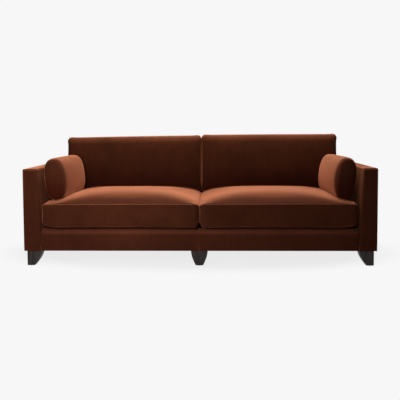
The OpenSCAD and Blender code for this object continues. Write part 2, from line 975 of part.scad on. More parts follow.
module at_bolster(side) {
    on_side(side)
        translate([bolster_x, bolster_y, bolster_z])
            rotate([0, 0, bolster_turn])
                rotate([0, bolster_lean, 0])
                    children();
}

// Fibre core of the bolster: flat sides with round top and bottom
module bolster_core() {
    r = bolster_w / 2 - wrap_t;
    rise = bolster_h / 2 - wrap_t - r;
    along_y(-bolster_l / 2 + wrap_t, bolster_l / 2 - wrap_t) {
        square([2 * r, 2 * rise], center = true);
        translate([0, rise])
            circle(r = r);
        translate([0, -rise])
            circle(r = r);
    }
}

module bolster(side) {
    end_y = bolster_l / 2 + bolster_end_rise;
    color(velvet)
        at_bolster(side)
            difference() {
                ring_body(bolster_rings, [0, -end_y, 0], [0, end_y, 0]);
                bolster_core();
            }
}

module bolster_fill(side) {
    color(foam)
        at_bolster(side)
            bolster_core();
}

front_rail();
back_rail();
seat_rail_rear();
side_rail(LEFT);  // side_rail_left
side_rail(RIGHT);  // side_rail_right
centre_rail();
arm_post(LEFT, rail_y, leg_bolt_front_y);  // arm_post_front_left
arm_post(RIGHT, rail_y, leg_bolt_front_y);  // arm_post_front_right
arm_post(LEFT, rear_y - post_d, leg_bolt_back_y);  // arm_post_rear_left
arm_post(RIGHT, rear_y - post_d, leg_bolt_back_y);  // arm_post_rear_right
arm_top_rail(LEFT);  // arm_top_rail_left
arm_top_rail(RIGHT);  // arm_top_rail_right
back_top_rail();
back_uprights();
corner_blocks();
arm_outer_board(LEFT);  // arm_outer_board_left
arm_outer_board(RIGHT);  // arm_outer_board_right
arm_inner_board(LEFT);  // arm_inner_board_left
arm_inner_board(RIGHT);  // arm_inner_board_right
arm_facing(LEFT);  // arm_facing_left
arm_facing(RIGHT);  // arm_facing_right
back_outer_board();
springs(LEFT);  // springs_left
springs(RIGHT);  // springs_right
spring_clips();
back_webbing();
arm_pad(LEFT);  // arm_pad_left
arm_pad(RIGHT);  // arm_pad_right
back_pad();
border_pad();
deck_pad();
arm_cover(LEFT);  // arm_cover_left
arm_cover(RIGHT);  // arm_cover_right
back_cover_inside();
back_cover_outside();
border_cover();
deck_cloth();
dust_cover();
seat_cushion(LEFT);  // seat_cushion_left
seat_cushion(RIGHT);  // seat_cushion_right
seat_foam(LEFT);  // seat_foam_left
seat_foam(RIGHT);  // seat_foam_right
back_cushion(LEFT);  // back_cushion_left
back_cushion(RIGHT);  // back_cushion_right
back_fill(LEFT);  // back_fill_left
back_fill(RIGHT);  // back_fill_right
bolster(LEFT);  // bolster_left
bolster(RIGHT);  // bolster_right
bolster_fill(LEFT);  // bolster_fill_left
bolster_fill(RIGHT);  // bolster_fill_right
corner_leg(LEFT, false);  // leg_front_left
centre_leg(false);  // leg_front_centre
corner_leg(RIGHT, false);  // leg_front_right
corner_leg(LEFT, true);  // leg_back_left
centre_leg(true);  // leg_back_centre
corner_leg(RIGHT, true);  // leg_back_right
leg_bolts();
glides();
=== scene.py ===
# %% [markdown]
# # A tuxedo sofa in rust velvet
# The CAD model holds the sofa's timber frame, springs, padding, covers and cushions. This lesson
# dresses it. The loose cushions are blown up as cloth, the arms, back and border get tight skins, and
# every surface gets its own material. All is in metres, with X across the sofa, Y from front to back
# and Z up.

# %% Load the frame
import math

import bpy
import numpy as np
from mathutils import Matrix, Vector, noise
from mathutils.bvhtree import BVHTree
from mathutils.kdtree import KDTree


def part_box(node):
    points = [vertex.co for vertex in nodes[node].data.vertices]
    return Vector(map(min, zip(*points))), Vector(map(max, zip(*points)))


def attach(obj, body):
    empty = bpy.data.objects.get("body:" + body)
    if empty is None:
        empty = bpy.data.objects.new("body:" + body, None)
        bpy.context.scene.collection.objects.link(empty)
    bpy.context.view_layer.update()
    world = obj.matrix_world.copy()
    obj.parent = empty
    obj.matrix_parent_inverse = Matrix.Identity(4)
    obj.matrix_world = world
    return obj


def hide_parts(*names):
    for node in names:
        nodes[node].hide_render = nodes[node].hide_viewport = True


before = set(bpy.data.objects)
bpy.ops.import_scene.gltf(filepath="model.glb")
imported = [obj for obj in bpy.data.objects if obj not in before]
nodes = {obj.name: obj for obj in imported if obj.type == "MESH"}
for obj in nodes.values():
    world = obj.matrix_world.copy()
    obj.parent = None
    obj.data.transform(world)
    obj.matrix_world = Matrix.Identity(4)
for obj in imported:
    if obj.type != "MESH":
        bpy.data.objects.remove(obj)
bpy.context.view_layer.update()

QUARTER = math.radians(90)

# %% [markdown]
# ## Working on pieces
# Blender's operators act on all that is selected, so each step selects its own piece first. Shapes
# are mostly changed as arrays, with a row of X, Y and Z for each vertex.

# %% Objects and selection
def new_object(name, data):
    """Puts a camera, lamp, curve or mesh into the scene."""
    made = bpy.data.objects.new(name, data)
    bpy.context.scene.collection.objects.link(made)
    return made


def deselect():
    bpy.ops.object.select_all(action="DESELECT")


def choose(piece):
    deselect()
    piece.select_set(True)
    bpy.context.view_layer.objects.active = piece


def done():
    bpy.ops.object.mode_set(mode="OBJECT")


def edit(piece, kind="VERT", mask=None):
    """Opens a piece for editing, with all of it selected, or with what a mask picks."""
    choose(piece)
    bpy.ops.object.mode_set(mode="EDIT")
    bpy.ops.mesh.select_mode(type=kind)
    bpy.ops.mesh.select_all(action="SELECT" if mask is None else "DESELECT")
    if mask is not None:
        mesh = piece.data
        done()
        {"VERT": mesh.vertices, "EDGE": mesh.edges, "FACE": mesh.polygons}[kind].foreach_set("select", mask)
        bpy.ops.object.mode_set(mode="EDIT")


def applied(name, scale=(1, 1, 1)):
    """Names and sizes the piece that was just added, with its scale and place made its own."""
    piece = bpy.context.object
    piece.name, piece.scale = name, scale
    bpy.ops.object.transform_apply(location=True, rotation=True, scale=True)
    return piece


# %% Meshes as arrays
def rows(piece, key):
    flat = np.empty(len(piece.data.vertices) * 3)
    piece.data.vertices.foreach_get(key, flat)
    return flat.reshape(-1, 3)


def points(piece):
    return rows(piece, "co")


def set_points(piece, places):
    piece.data.vertices.foreach_set("co", places.ravel())
    piece.data.update()


def tell(piece):
    """Reads the points of a piece, and does nothing more with them."""
    p = points(piece)


def rise(value, start, span):
    """0 up to a start, 1 from a span above it, and even between."""
    return np.clip((value - start) / span, 0, 1)


def fall(value, start, span):
    """0 down to a start, 1 from a span below it, and even between."""
    return np.clip((start - value) / span, 0, 1)


def eased(share):
    return share ** 2 * (3 - 2 * share)


# %% Modifiers and shading
def settings_to(thing, settings):
    for key, value in settings.items():
        setattr(thing, key, value)


def modify(piece, kind, **settings):
    """Adds a modifier with its settings, and applies it."""
    settings_to(piece.modifiers.new(kind, kind), settings)
    choose(piece)
    bpy.ops.object.modifier_apply(modifier=kind)


def smooth_shade(piece, degrees):
    choose(piece)
    bpy.ops.object.shade_smooth_by_angle(angle=math.radians(degrees))


def declare(piece, node, body="frame"):
    """Hangs the piece on the body that it rides on, and hides the CAD node that it stands for."""
    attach(piece, body)
    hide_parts(node)


# %% [markdown]
# ## The camera
# The photograph looks at the sofa from just right of its middle, from just above its back cushions and
# a little downwards. Its picture was then slid, so that the sofa sits low in a square. A camera that
# is turned about its own axes and has a vertical shift gives the same view.

# %% Camera
PICTURE, FOCAL, SHIFT = 400, 542.1, (-1.56, -44.16)  # pixels
SENSOR = 36  # millimetres
CAMERA_PLACE = (0.110, -4.111, 0.950)
turn, tilt, roll = (math.radians(a) for a in (1.44, 3.13, -0.27))

camera_data = bpy.data.cameras.new("camera")
camera = new_object("camera", camera_data)
bpy.context.scene.camera = camera
camera_data.sensor_width = SENSOR
camera_data.lens = SENSOR * FOCAL / PICTURE
camera_data.shift_x, camera_data.shift_y = (pixels / PICTURE for pixels in SHIFT)
camera.matrix_world = (Matrix.Translation(CAMERA_PLACE) @ Matrix.Rotation(turn, 4, "Z")
                       @ Matrix.Rotation(QUARTER - tilt, 4, "X") @ Matrix.Rotation(roll, 4, "Z"))
print("lens", round(camera_data.lens, 1), "mm")

# %% [markdown]
# ## Shader nodes
# A node's inputs take plain values or the outputs of other nodes, so short functions that each return
# one output let a chain of nodes be written like a sum.

# %% Functions that add nodes
def feed(tree, node, inputs):
    """Gives inputs, by name or number, a plain value or another node's output."""
    for key, value in inputs.items():
        if isinstance(value, bpy.types.NodeSocket):
            tree.links.new(value, node.inputs[key])
        else:
            node.inputs[key].default_value = value


def add_node(tree, kind, inputs, **settings):
    made = tree.nodes.new("ShaderNode" + kind)
    settings_to(made, settings)
    feed(tree, made, inputs)
    return made


def wired(tree, kind, output, inputs, **settings):
    """Adds a node and returns one of its outputs."""
    return add_node(tree, kind, inputs, **settings).outputs[output]


def maths(tree, operation, *values, clamp=False):
    return wired(tree, "Math", 0, dict(enumerate(values)), operation=operation, use_clamp=clamp)


def remap(tree, value, low=0.0, high=1.0, to_low=0.0, to_high=1.0, ease=False):
    inputs = {"Value": value, "From Min": low, "From Max": high, "To Min": to_low, "To Max": to_high}
    return wired(tree, "MapRange", "Result", inputs,
                 interpolation_type="SMOOTHSTEP" if ease else "LINEAR")


def mix(tree, share, first, second, **settings):
    """Mixes two colours."""
    return wired(tree, "Mix", "Result", {"Factor": share, "A": first, "B": second},
                 data_type="RGBA", **settings)


def mapped(tree, vector, scale=(1.0, 1.0, 1.0), turn=(0, 0, 0)):
    return wired(tree, "Mapping", "Vector", {"Vector": vector, "Rotation": turn, "Scale": scale})


def new_material(name):
    """A new material with its tree and its Principled shader."""
    made = bpy.data.materials.new(name)
    made.use_nodes = True
    return made, made.node_tree, made.node_tree.nodes["Principled BSDF"]


def colour_or_number(value):
    return (*value, 1) if isinstance(value, tuple) else value


def clouds(tree, vector, scale, detail=2.0, roughness=0.5, distortion=0.0):
    inputs = {"Vector": vector, "Scale": scale, "Detail": detail, "Roughness": roughness,
              "Distortion": distortion}
    return wired(tree, "TexNoise", "Fac", inputs)


# %% [markdown]
# ## The studio
# A pale floor that fades into a pale world stands in for a studio's sweep of paper. One soft box stands
# low and close, left of the middle, so that the fronts darken towards the right. A larger one hangs
# high above the back, because the photograph is brightest on what faces up. The floor is darker for
# the light that it sends back, so that little comes from below.

# %% World and lamps
def grey(value):
    return (value, value, value, 1)


def seen(tree):
    """A mask that is 1 for rays from the camera and for what gloss and clear things show."""
    rays = add_node(tree, "LightPath", {}).outputs
    straight = maths(tree, "MAXIMUM", rays["Is Camera Ray"], rays["Is Glossy Ray"])
    return maths(tree, "MAXIMUM", straight, rays["Is Transmission Ray"])


def soft_box(name, place, target, size, watts):
    lamp = bpy.data.lights.new(name, "AREA")
    lamp.shape, lamp.size, lamp.energy = "SQUARE", size, watts
    made = new_object(name, lamp)
    made.location = place
    made.rotation_euler = (Vector(target) - Vector(place)).to_track_quat("-Z", "Y").to_euler()
    made.visible_camera = False


PAPER = grey(0.930)
bpy.context.scene.view_settings.view_transform = "Standard"
world = bpy.data.worlds.new("studio")
bpy.context.scene.world = world
world.use_nodes = True
sky = world.node_tree
sky.nodes.clear()
ambient = wired(sky, "Background", 0, {"Color": grey(1.0), "Strength": 0.05})
paper = wired(sky, "Background", 0, {"Color": PAPER, "Strength": 1.0})
either = wired(sky, "MixShader", 0, {0: seen(sky), 1: ambient, 2: paper})
add_node(sky, "OutputWorld", {"Surface": either})

soft_box("key", (-0.85, -1.8, 0.95), (-0.6, -0.3, 0.4), size=0.8, watts=16.5)
soft_box("top", (0.20, 0.50, 2.4), (0.15, 0.2, 0.4), size=2.0, watts=68)

# %% The floor fades into the backdrop
FADE_ROUND = (1.25, 0.55, 1.0)  # half the sofa's footprint and a little more
deselect()
bpy.ops.mesh.primitive_plane_add(size=60)
floor = bpy.context.object
floor.name = "studio_floor"
floor_paper, tree, near_paper = new_material("floor_paper")
mask = seen(tree)
feed(tree, near_paper, {"Base Color": mix(tree, mask, grey(0.35), grey(0.88)), "Roughness": 0.9,
                        "Specular IOR Level": 0.1})
far_paper = wired(tree, "Emission", 0, {"Color": PAPER, "Strength": 1.0})
spot = mapped(tree, wired(tree, "TexCoord", "Object", {}), scale=[1 / half for half in FADE_ROUND])
away = wired(tree, "VectorMath", "Value", {0: spot}, operation="LENGTH")
fade = maths(tree, "MULTIPLY", remap(tree, away, 0.9, 1.35, 0.86, ease=True), mask)
mixed = wired(tree, "MixShader", 0, {0: fade, 1: near_paper.outputs[0], 2: far_paper})
feed(tree, tree.nodes["Material Output"], {"Surface": mixed})
floor.data.materials.append(floor_paper)

# %% [markdown]
# ## Velvet
# Velvet has a dense upright pile. Seen along the pile it is deep and dark, and where it turns away
# from the eye, the sides of the fibres catch the light and glow. Its nap is brushed lighter and
# darker in broad patches and faint streaks, which one group makes from the piece's own coordinates.
# Layer Weight mixes the glow into the base colour as a painted sheen, and the Principled shader adds its real
# sheen.

# %% Start and end a group for a pattern
def pattern_group(name, **inputs):
    """Starts a group that makes a colour, a roughness and a height. Returns it and its inputs' sockets,
    the vector first."""
    group = bpy.data.node_groups.new(name, "ShaderNodeTree")
    group.interface.new_socket("Vector", in_out="INPUT", socket_type="NodeSocketVector")
    for label, value in inputs.items():
        kind = "NodeSocketColor" if isinstance(value, tuple) else "NodeSocketFloat"
        socket = group.interface.new_socket(label, in_out="INPUT", socket_type=kind)
        socket.default_value = colour_or_number(value)
    for label, kind in (("Color", "Color"), ("Roughness", "Float"), ("Height", "Float")):
        group.interface.new_socket(label, in_out="OUTPUT", socket_type="NodeSocket" + kind)
    return group, *list(group.nodes.new("NodeGroupInput").outputs)[:len(inputs) + 1]


def put_out(group, colour, roughness, height):
    feed(group, group.nodes.new("NodeGroupOutput"),
         {"Color": colour, "Roughness": roughness, "Height": height})


# %% A group for the pile and the brushed nap
nap, at, shade, brushed, patch, fine = pattern_group(
    "brushed_pile", Shade=(0.05, 0.012, 0.005), Brushed=(0.09, 0.025, 0.012), Patch=4.0, Pile=900.0)
patches = clouds(nap, at, patch, 4.0, 0.45, 0.4)
streaks = clouds(nap, mapped(nap, at, scale=(38.0, 38.0, 5.0)), 1.0, 3.0)
pile = clouds(nap, at, fine, 2.0, 0.6)
total = maths(nap, "ADD", patches, maths(nap, "MULTIPLY", streaks, 0.45))
total = maths(nap, "ADD", total, maths(nap, "MULTIPLY", pile, 0.35))
share = remap(nap, total, 0.65, 1.15)
put_out(nap, mix(nap, share, shade, brushed), remap(nap, share, 0, 1, 0.82, 0.98), pile)

# %% [markdown]
# The colour is also painted by height: lighter along the back cushions' upper edge and the border's
# roll, a painted highlight, and darker low on the back cushions and the bolsters, a painted shade. Each
# point's height is kept on the mesh, so that this painted light stays with the cloth when it is lifted.

# %% Painted highlight and shade by height
def note_height(piece):
    kept = piece.data.attributes.new("height", "FLOAT", "POINT")
    kept.data.foreach_set("value", points(piece)[:, 2])


def painted_light_by_height(tree, colour, tones):
    """Multiplies a colour by tones that change with the height of the cloth: painted shade and painted
    highlight.
    """
    height = wired(tree, "Attribute", "Fac", {}, attribute_name="height")
    tone = (*tones[0], 1)
    for low, high, later in tones[1:]:
        tone = mix(tree, remap(tree, height, low, high, ease=True), tone, (*later, 1))
    return mix(tree, 1.0, colour, tone, blend_type="MULTIPLY")


# %% Velvet materials
RUST, RUST_BRUSHED = (0.054, 0.0130, 0.0052), (0.087, 0.0225, 0.0100)
# The glow's colours: a painted sheen, mixed into the base colour where the surface turns away from the eye.
PAINTED_SHEEN_STOPS = ((0.50, (0.18, 0.042, 0.013, 1)), (0.95, (0.48, 0.182, 0.095, 1)))


def patterned(name, group, values, bump, depth, turn):
    """A Principled material with a group's roughness and relief. Returns the material, its tree, its
    shader and the group's colour."""
    made, tree, shader = new_material(name)
    inputs = {key: colour_or_number(value) for key, value in values.items()}
    inputs["Vector"] = mapped(tree, wired(tree, "TexCoord", "Object", {}), turn=turn)
    pattern = add_node(tree, "Group", inputs, node_tree=group).outputs
    relief = {"Strength": bump, "Distance": depth, "Height": pattern["Height"]}
    feed(tree, shader, {"Roughness": pattern["Roughness"], "Normal": wired(tree, "Bump", 0, relief)})
    return made, tree, shader, pattern["Color"]


def velvet(name, shade=RUST, brushed=RUST_BRUSHED, patch=3.2, turn=(0, 0, 0), glow_most=1.0, sheen=1.0,
           tones=None, tones_glow=False):
    """The cloth of a piece. glow_most is how much painted sheen, a lighter base colour where the surface
    turns away from the eye, is mixed in. tones paint shade and highlight by height: the tone low down, then
    the heights between which it changes, with the tone that it changes to. It acts on the cloth, or with
    tones_glow on the glow too."""
    values = {"Shade": shade, "Brushed": brushed, "Patch": patch}
    made, tree, shader, colour = patterned(name, nap, values, 0.35, 0.0006, turn)
    if tones and not tones_glow:
        colour = painted_light_by_height(tree, colour, tones)
    # The glow: a painted sheen, a lighter base colour mixed in where the surface turns away from the eye.
    away = wired(tree, "LayerWeight", "Facing", {"Blend": 0.5})
    ramp = add_node(tree, "ValToRGB", {"Fac": away})
    for stop, (where, tint) in zip(ramp.color_ramp.elements, PAINTED_SHEEN_STOPS):
        stop.position, stop.color = where, tint
    painted_sheen_share = remap(tree, away, 0.42, 0.86, 0.0, glow_most, ease=True)
    colour = mix(tree, painted_sheen_share, colour, ramp.outputs["Color"])
    if tones_glow:
        colour = painted_light_by_height(tree, colour, tones)
    feed(tree, shader, {"Base Color": colour, "Specular IOR Level": 0.05, "Sheen Weight": sheen,
                        "Sheen Roughness": 0.30, "Sheen Tint": (1.0, 0.33, 0.16, 1)})
    return made


VELVET_FRAME = velvet("velvet_frame")
# The arms' inner faces: a darker copy of the velvet with less glow and sheen, painted shade beside the
# bolsters.
VELVET_INSIDE_SHADED = velvet("velvet_arm_inside_shaded", (0.034, 0.0080, 0.0034), (0.055, 0.0140, 0.0066),
                       glow_most=0.15, sheen=0.45)
VELVET_SEAT = velvet("velvet_seat", patch=4.2, turn=(QUARTER, 0, 0))
# The back cushions' tones: painted shade low down and a painted highlight along the upper edge, with less
# painted sheen.
VELVET_BACK = velvet("velvet_back", patch=3.6, glow_most=0.7, tones=(
    (0.66, 0.55, 0.58), (0.50, 0.78, (1.0, 1.0, 0.85)), (0.805, 0.850, (2.2, 2.4, 2.2)),
    (0.840, 0.862, (3.0, 4.2, 5.5))))
# The bolsters' tones: painted shade low on the flank, on the painted sheen as well.
VELVET_BOLSTER = velvet("velvet_bolster", patch=5.0, tones_glow=True, tones=(
    (0.66, 0.40, 0.40), (0.46, 0.70, (1.05, 1.08, 1.08))))
# The border's tones: a painted highlight along its top roll, with less painted sheen.
VELVET_BORDER = velvet("velvet_border", glow_most=0.35, tones=(
    (1.0, 1.0, 1.0), (0.205, 0.240, (1.9, 2.0, 2.4))))
# The welts' velvet is a lighter copy of the cloth: a painted highlight along the seams.
VELVET_WELT_HIGHLIGHT = velvet("velvet_welt_highlight", (0.17, 0.055, 0.022), (0.24, 0.085, 0.038), patch=9.0)

# %% [markdown]
# ## Where things are
# The cushions lie on the deck and the border, between the arms and before the leaning back, and keep
# a hair's breadth away from them. The heights come from the CAD model's boxes. The slopes, and where
# they start at the top, are the named sizes of its source.

# %% Places that the cushions share
seat_low, seat_high = (np.array(v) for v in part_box("seat_cushion_right"))
DECK_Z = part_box("deck_cloth")[1][2]
RAIL_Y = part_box("border_cover")[0][1]
ARM_TOP_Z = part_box("arm_cover_right")[1][2]
ARM_TOP_X, ARM_SLOPE = 1.106, 0.0607
BACK_LEAN, BACK_TOP_Y = math.radians(8), 0.381
MID_ARM_X, MID_BACK_Y = 1.14, 0.40  # between the inner and the outer face
BESIDE, HAIR, ON_TOP = 0.001, 0.0004, 0.0003  # gaps to the frame, between cushions and above the seat
SEAT_CLEAR_Z = 0.56  # higher than any seat cushion
ROLL = 0.034  # radius of the border's top edge


def arm_inside_x(z):
    """Where the inner face of the right arm is at a height."""
    return ARM_TOP_X - (ARM_TOP_Z - z) * ARM_SLOPE


def back_inside_y(z):
    """Where the inside of the back is at a height."""
    return BACK_TOP_Y - (ARM_TOP_Z - z) * math.tan(BACK_LEAN)


def dip(y):
    """How far the seat presses the front of the border down."""
    return 0.012 * eased(fall(y, -0.425, 0.035))


def bearer_z(y):
    """The height of what the seat cushion lies on: the deck, and in front the border's rolled edge."""
    sunk = np.clip(RAIL_Y + ROLL - y, 0, ROLL * 0.995)
    return DECK_Z - ROLL + np.sqrt(ROLL ** 2 - sunk ** 2) - dip(y)


print("arm inside at the deck", arm_inside_x(DECK_Z), "back inside at the deck", back_inside_y(DECK_Z))

# %% [markdown]
# ## How a cushion is made
# Each cushion is built flat, with its thickness along Z: a box with rounded corners is remeshed into
# even small squares and pushed into its crowned shape. Then it is sewn: the vertices along its seams
# are pinned, and Cloth with pressure inside blows up the panels between them, as filling does. Far
# moves are capped. Last it is moved to where it stands and pressed flat wherever it rests.

# %% A remeshed box to start from
def new_box(name, low, high):
    deselect()
    low, high = Vector(low), Vector(high)
    bpy.ops.mesh.primitive_cube_add(size=1, location=(low + high) / 2)
    return applied(name, high - low)


def bevel_edges(piece, wanted, radius, segments):
    """Rounds the edges whose two ends pass a test."""
    edit(piece, "EDGE", [wanted(*(piece.data.vertices[i].co for i in e.vertices)) for e in piece.data.edges])
    bpy.ops.mesh.bevel(offset=radius, segments=segments)
    done()


def remesh(piece, voxel):
    choose(piece)
    piece.data.remesh_voxel_size = voxel
    bpy.ops.object.voxel_remesh()


def soften(piece, repeat=2, mask=None):
    """Smooths a piece, or what a mask picks. Twice is enough for the steps of the voxels."""
    edit(piece, "VERT", mask)
    bpy.ops.mesh.vertices_smooth(factor=0.5, repeat=repeat)
    done()


# %% Swelling as cloth
FILLED = {"quality": 5, "mass": 0.3, "tension_stiffness": 25, "compression_stiffness": 15,
          "shear_stiffness": 8, "bending_stiffness": 1.5, "use_pressure": True,
          "vertex_group_mass": "seams"}


def swell(piece, pinned, pressure, frames, cap=0.024):
    """Blows a cushion up with its seams pinned, and caps how far each point moves."""
    start = points(piece)
    held = piece.vertex_groups.new(name="seams")
    held.add(np.nonzero(pinned)[0].tolist(), 1.0, "REPLACE")
    cloth = piece.modifiers.new("filling", "CLOTH")
    settings_to(cloth.settings, FILLED)
    cloth.settings.uniform_pressure_force = pressure
    cloth.settings.effector_weights.gravity = 0
    cloth.collision_settings.use_collision = False
    scene = bpy.context.scene
    scene.frame_start, scene.frame_end = 1, frames
    for f in range(1, frames + 1):
        scene.frame_set(f)
    choose(piece)
    bpy.ops.object.modifier_apply(modifier="filling")
    scene.frame_set(1)
    piece.vertex_groups.clear()
    moved = points(piece) - start
    far = np.linalg.norm(moved, axis=1, keepdims=True)
    kept = moved * np.where(far > 1e-9, cap * np.tanh(far / cap) / np.maximum(far, 1e-9), 1)
    set_points(piece, start + kept)
    print(f"{piece.name} swelled by {far.mean() * 1000:.1f} mm, at most {far.max() * 1000:.1f} mm")


# %% Seams as paths
def plan_ring(half_w, half_d, corner, step=0.008):
    """Points round a rectangle with round corners, evenly spaced."""
    ring = []
    for q in range(4):
        a, b = (half_w, half_d) if q % 2 == 0 else (half_d, half_w)
        steps = max(2, int(2 * (b - corner) / step))
        side = np.linspace((a, corner - b), (a, b - corner), steps, endpoint=False)
        angles = np.linspace(0, QUARTER, max(4, int(corner * 1.57 / step)), endpoint=False)
        bend = np.column_stack([np.cos(angles), np.sin(angles)]) * corner + (a - corner, b - corner)
        ring.append(np.concatenate([side, bend]) @ np.array(Matrix.Rotation(QUARTER * q, 2)).T)
    return np.concatenate(ring)


def line_through(*lines):
    """Even points along straight lines, each given by its two ends and a count."""
    return np.concatenate([np.linspace(*line) for line in lines])


def from_nearest(places, *paths):
    """How far each place is from the nearest of the paths."""
    path = np.concatenate(paths)
    tree = KDTree(len(path))
    for i, co in enumerate(path):
        tree.insert(Vector(co), i)
    tree.balance()
    return np.array([tree.find(Vector(co))[2] for co in places])


def calm(piece, seams, repeat, keep=0.018):
    """Smooths the panels between the seams and leaves the seams crisp."""
    soften(piece, repeat, from_nearest(points(piece), *seams) >= keep)


# %% Shape of a boxed cushion
def crown_fall(u, power):
    return 1 - np.abs(np.clip(u, -1, 1)) ** power


def turned_in(share, radius):
    """How far a round edge has turned in at a share of its width. It stops short of closing."""
    return radius * (1 - np.sqrt(1 - 0.97 * share ** 2))


def boxed_cushion(name, low, high, under, border, corner, rounding, powers, pressure, frames, bed=0.0,
                  draw=0.0, edge=0.010, calming=8, upper=1.0):
    """Two panels sewn to a border, from z = 0 up. under is the height of the lower seam, and edge the radius
    along the seams. rounding is the radius of the inner and the outer end, seen from the front, and the
    outer end's upper corner gets the share upper of it. powers say how full the crown is towards the inner
    and outer ends, the front and the rear. It leaves bed free at the outer end, and the long sides are
    drawn in by draw. Returns the piece and its two seams."""
    low, high = np.array(low), np.array(high)
    half_w, half_d = (high - low)[:2] / 2
    height, crown = under + border, high[2] - under - border
    half = np.array((half_w, half_d, height / 2))
    piece = new_box(name, -half, half)
    bevel_edges(piece, lambda a, b: abs(a.z - b.z) > half[2], corner, 8)
    bevel_edges(piece, lambda a, b: min(abs(a.z), abs(b.z)) > half[2] - 1e-5, edge, 3)
    remesh(piece, 0.011)

    def shape(p):
        """Rounds the ends of the border and draws the long sides in."""
        p = np.array(p)
        u, v = p[:, 0] / half_w, np.clip(np.abs(p[:, 1]) / half_d, 0, 1)
        outer = rounding[1] * np.where(p[:, 2] > height / 2, upper, 1)
        radius = np.where(u < 0, rounding[0], outer) * v ** 3 + 1e-6
        share = rise(np.abs(p[:, 0]), half_w - radius, radius)
        p[:, 2] = height / 2 + (p[:, 2] - height / 2) * (1 - turned_in(share, radius) / (height / 2))
        p[:, 1] -= np.sign(p[:, 1]) * rise(v, 0.9, 0.1) * draw * (1 - np.clip(u, -1, 1) ** 2)
        return p

    p = points(piece)
    p[:, 2] += height / 2
    u, v = p[:, 0] / half_w, p[:, 1] / half_d
    top = rise(p[:, 2], height * 0.88, height * 0.12)
    bedded = p[:, 0] / (half_w - bed)
    lift = top * crown * np.where(u < 0, crown_fall(u, powers[0]), crown_fall(bedded, powers[1]))
    lift *= np.where(v < 0, crown_fall(v, powers[2]), crown_fall(v, powers[3]))
    p = shape(p)
    p[:, 2] += lift
    set_points(piece, p)
    ring = plan_ring(half_w, half_d, corner)
    seams = [shape(np.insert(ring, 2, z, axis=1)) for z in (height, under)]
    soften(piece)
    sewn = from_nearest(points(piece), *seams) < max(0.009, 0.42 * edge + 0.005)
    swell(piece, sewn, pressure, frames)
    calm(piece, seams, calming)
    p = points(piece)
    scale = (high - low) / (p.max(0) - p.min(0))
    shift = low - p.min(0) * scale
    set_points(piece, p * scale + shift)
    return piece, [seam * scale + shift for seam in seams]


# %% Place a cushion and keep it clear of what it touches
def moved(path, matrix):
    """Takes points from a cushion's own frame to their place in the sofa."""
    m = np.array(matrix)
    return np.array(path) @ m[:3, :3].T + m[:3, 3]


def surface_of(piece):
    mesh = piece.data
    return BVHTree.FromPolygons([v.co for v in mesh.vertices], [p.vertices for p in mesh.polygons])


def kept_in(p, behind=BESIDE, radius=0.0):
    """Points kept a radius clear of the sofa's middle, the arm and the inside back."""
    p = np.array(p)
    arm = arm_inside_x(np.minimum(p[:, 2], ARM_TOP_Z)) - BESIDE
    p[:, 0] = np.clip(p[:, 0], HAIR + radius, arm - radius)
    leaning = np.minimum(p[:, 1], back_inside_y(p[:, 2]) - behind - radius)
    p[:, 1] = np.where(p[:, 2] < ARM_TOP_Z + 0.004, leaning, p[:, 1])
    return p


def lifted(p, heights):
    """Points lifted to heights where they are below them."""
    return np.column_stack([p[:, :2], np.maximum(p[:, 2], heights)])


def finer(piece):
    """One subdivision, for a surface without facets."""
    modify(piece, "SUBSURF", levels=1, render_levels=1)


# %% Seams and welts
def pull_in(piece, path, depth, reach):
    """Draws the surface in along a seam, as the stitches do."""
    p, n = points(piece), rows(piece, "normal")
    low, high = np.min(path, 0) - reach, np.max(path, 0) + reach
    inside = np.nonzero(np.all((p > low) & (p < high), axis=1))[0]
    share = np.clip(1 - from_nearest(p[inside], path) / reach, 0, 1) ** 2
    p[inside] -= n[inside] * (depth * share)[:, None]
    set_points(piece, p)


def onto(piece, path, proud, closed=True, times=3):
    """The path laid onto a piece, standing proud of it by a little, with its kinks eased out."""
    tree, laid = surface_of(piece), []
    for co in path:
        place, normal = tree.find_nearest(Vector(co))[:2]
        laid.append(place + normal * proud)
    laid = np.array(laid)
    for _ in range(times):
        smoothed = (np.roll(laid, 1, 0) + 2 * laid + np.roll(laid, -1, 0)) / 4
        if not closed:
            smoothed[[0, -1]] = laid[[0, -1]]
        laid = smoothed
    return laid


def tube(path, radius, material, closed=True, smoothness=2):
    """A round cord along a path, as a mesh."""
    curve = bpy.data.curves.new("welt", "CURVE")
    settings_to(curve, {"dimensions": "3D", "bevel_depth": radius, "bevel_resolution": smoothness,
                        "use_fill_caps": not closed})
    curve.materials.append(material)
    spline = curve.splines.new("POLY")
    spline.points.add(len(path) - 1)
    spline.use_cyclic_u = closed
    for point, co in zip(spline.points, path):
        point.co = (*co, 1)
    choose(new_object("welt", curve))
    bpy.ops.object.convert(target="MESH")
    bpy.ops.object.shade_smooth()
    return bpy.context.object


def flat_welt(piece, path, radius, proud=0.0002, times=3):
    """The thin ridge of a seam that does not close on itself, in the lighter welt velvet: a painted
    highlight.
    """
    return tube(onto(piece, path, proud, False, times), radius, VELVET_WELT_HIGHLIGHT, False, 1)


def sew_to(piece, material, *parts):
    """Gives the piece its cloth and joins the welts that are sewn to it."""
    piece.data.materials.clear()
    piece.data.materials.append(material)
    choose(piece)
    for part in parts:
        part.select_set(True)
    bpy.ops.object.join()


def welted(piece, material, seams, radius, proud, below, smoothness=2, shining=0):
    """Sews a welt over each seam, in the piece's own cloth but for the first few, which shine in the
    lighter welt velvet, a painted highlight. below gives the height of what is under each point."""
    welts = []
    for i, seam in enumerate(seams):
        laid = onto(piece, seam, proud)
        laid = kept_in(lifted(laid, below(laid) + radius + HAIR), radius=radius)
        welts.append(tube(laid, radius, VELVET_WELT_HIGHLIGHT if i < shining else material, smoothness=smoothness))
    sew_to(piece, material, *welts)
    smooth_shade(piece, 70)


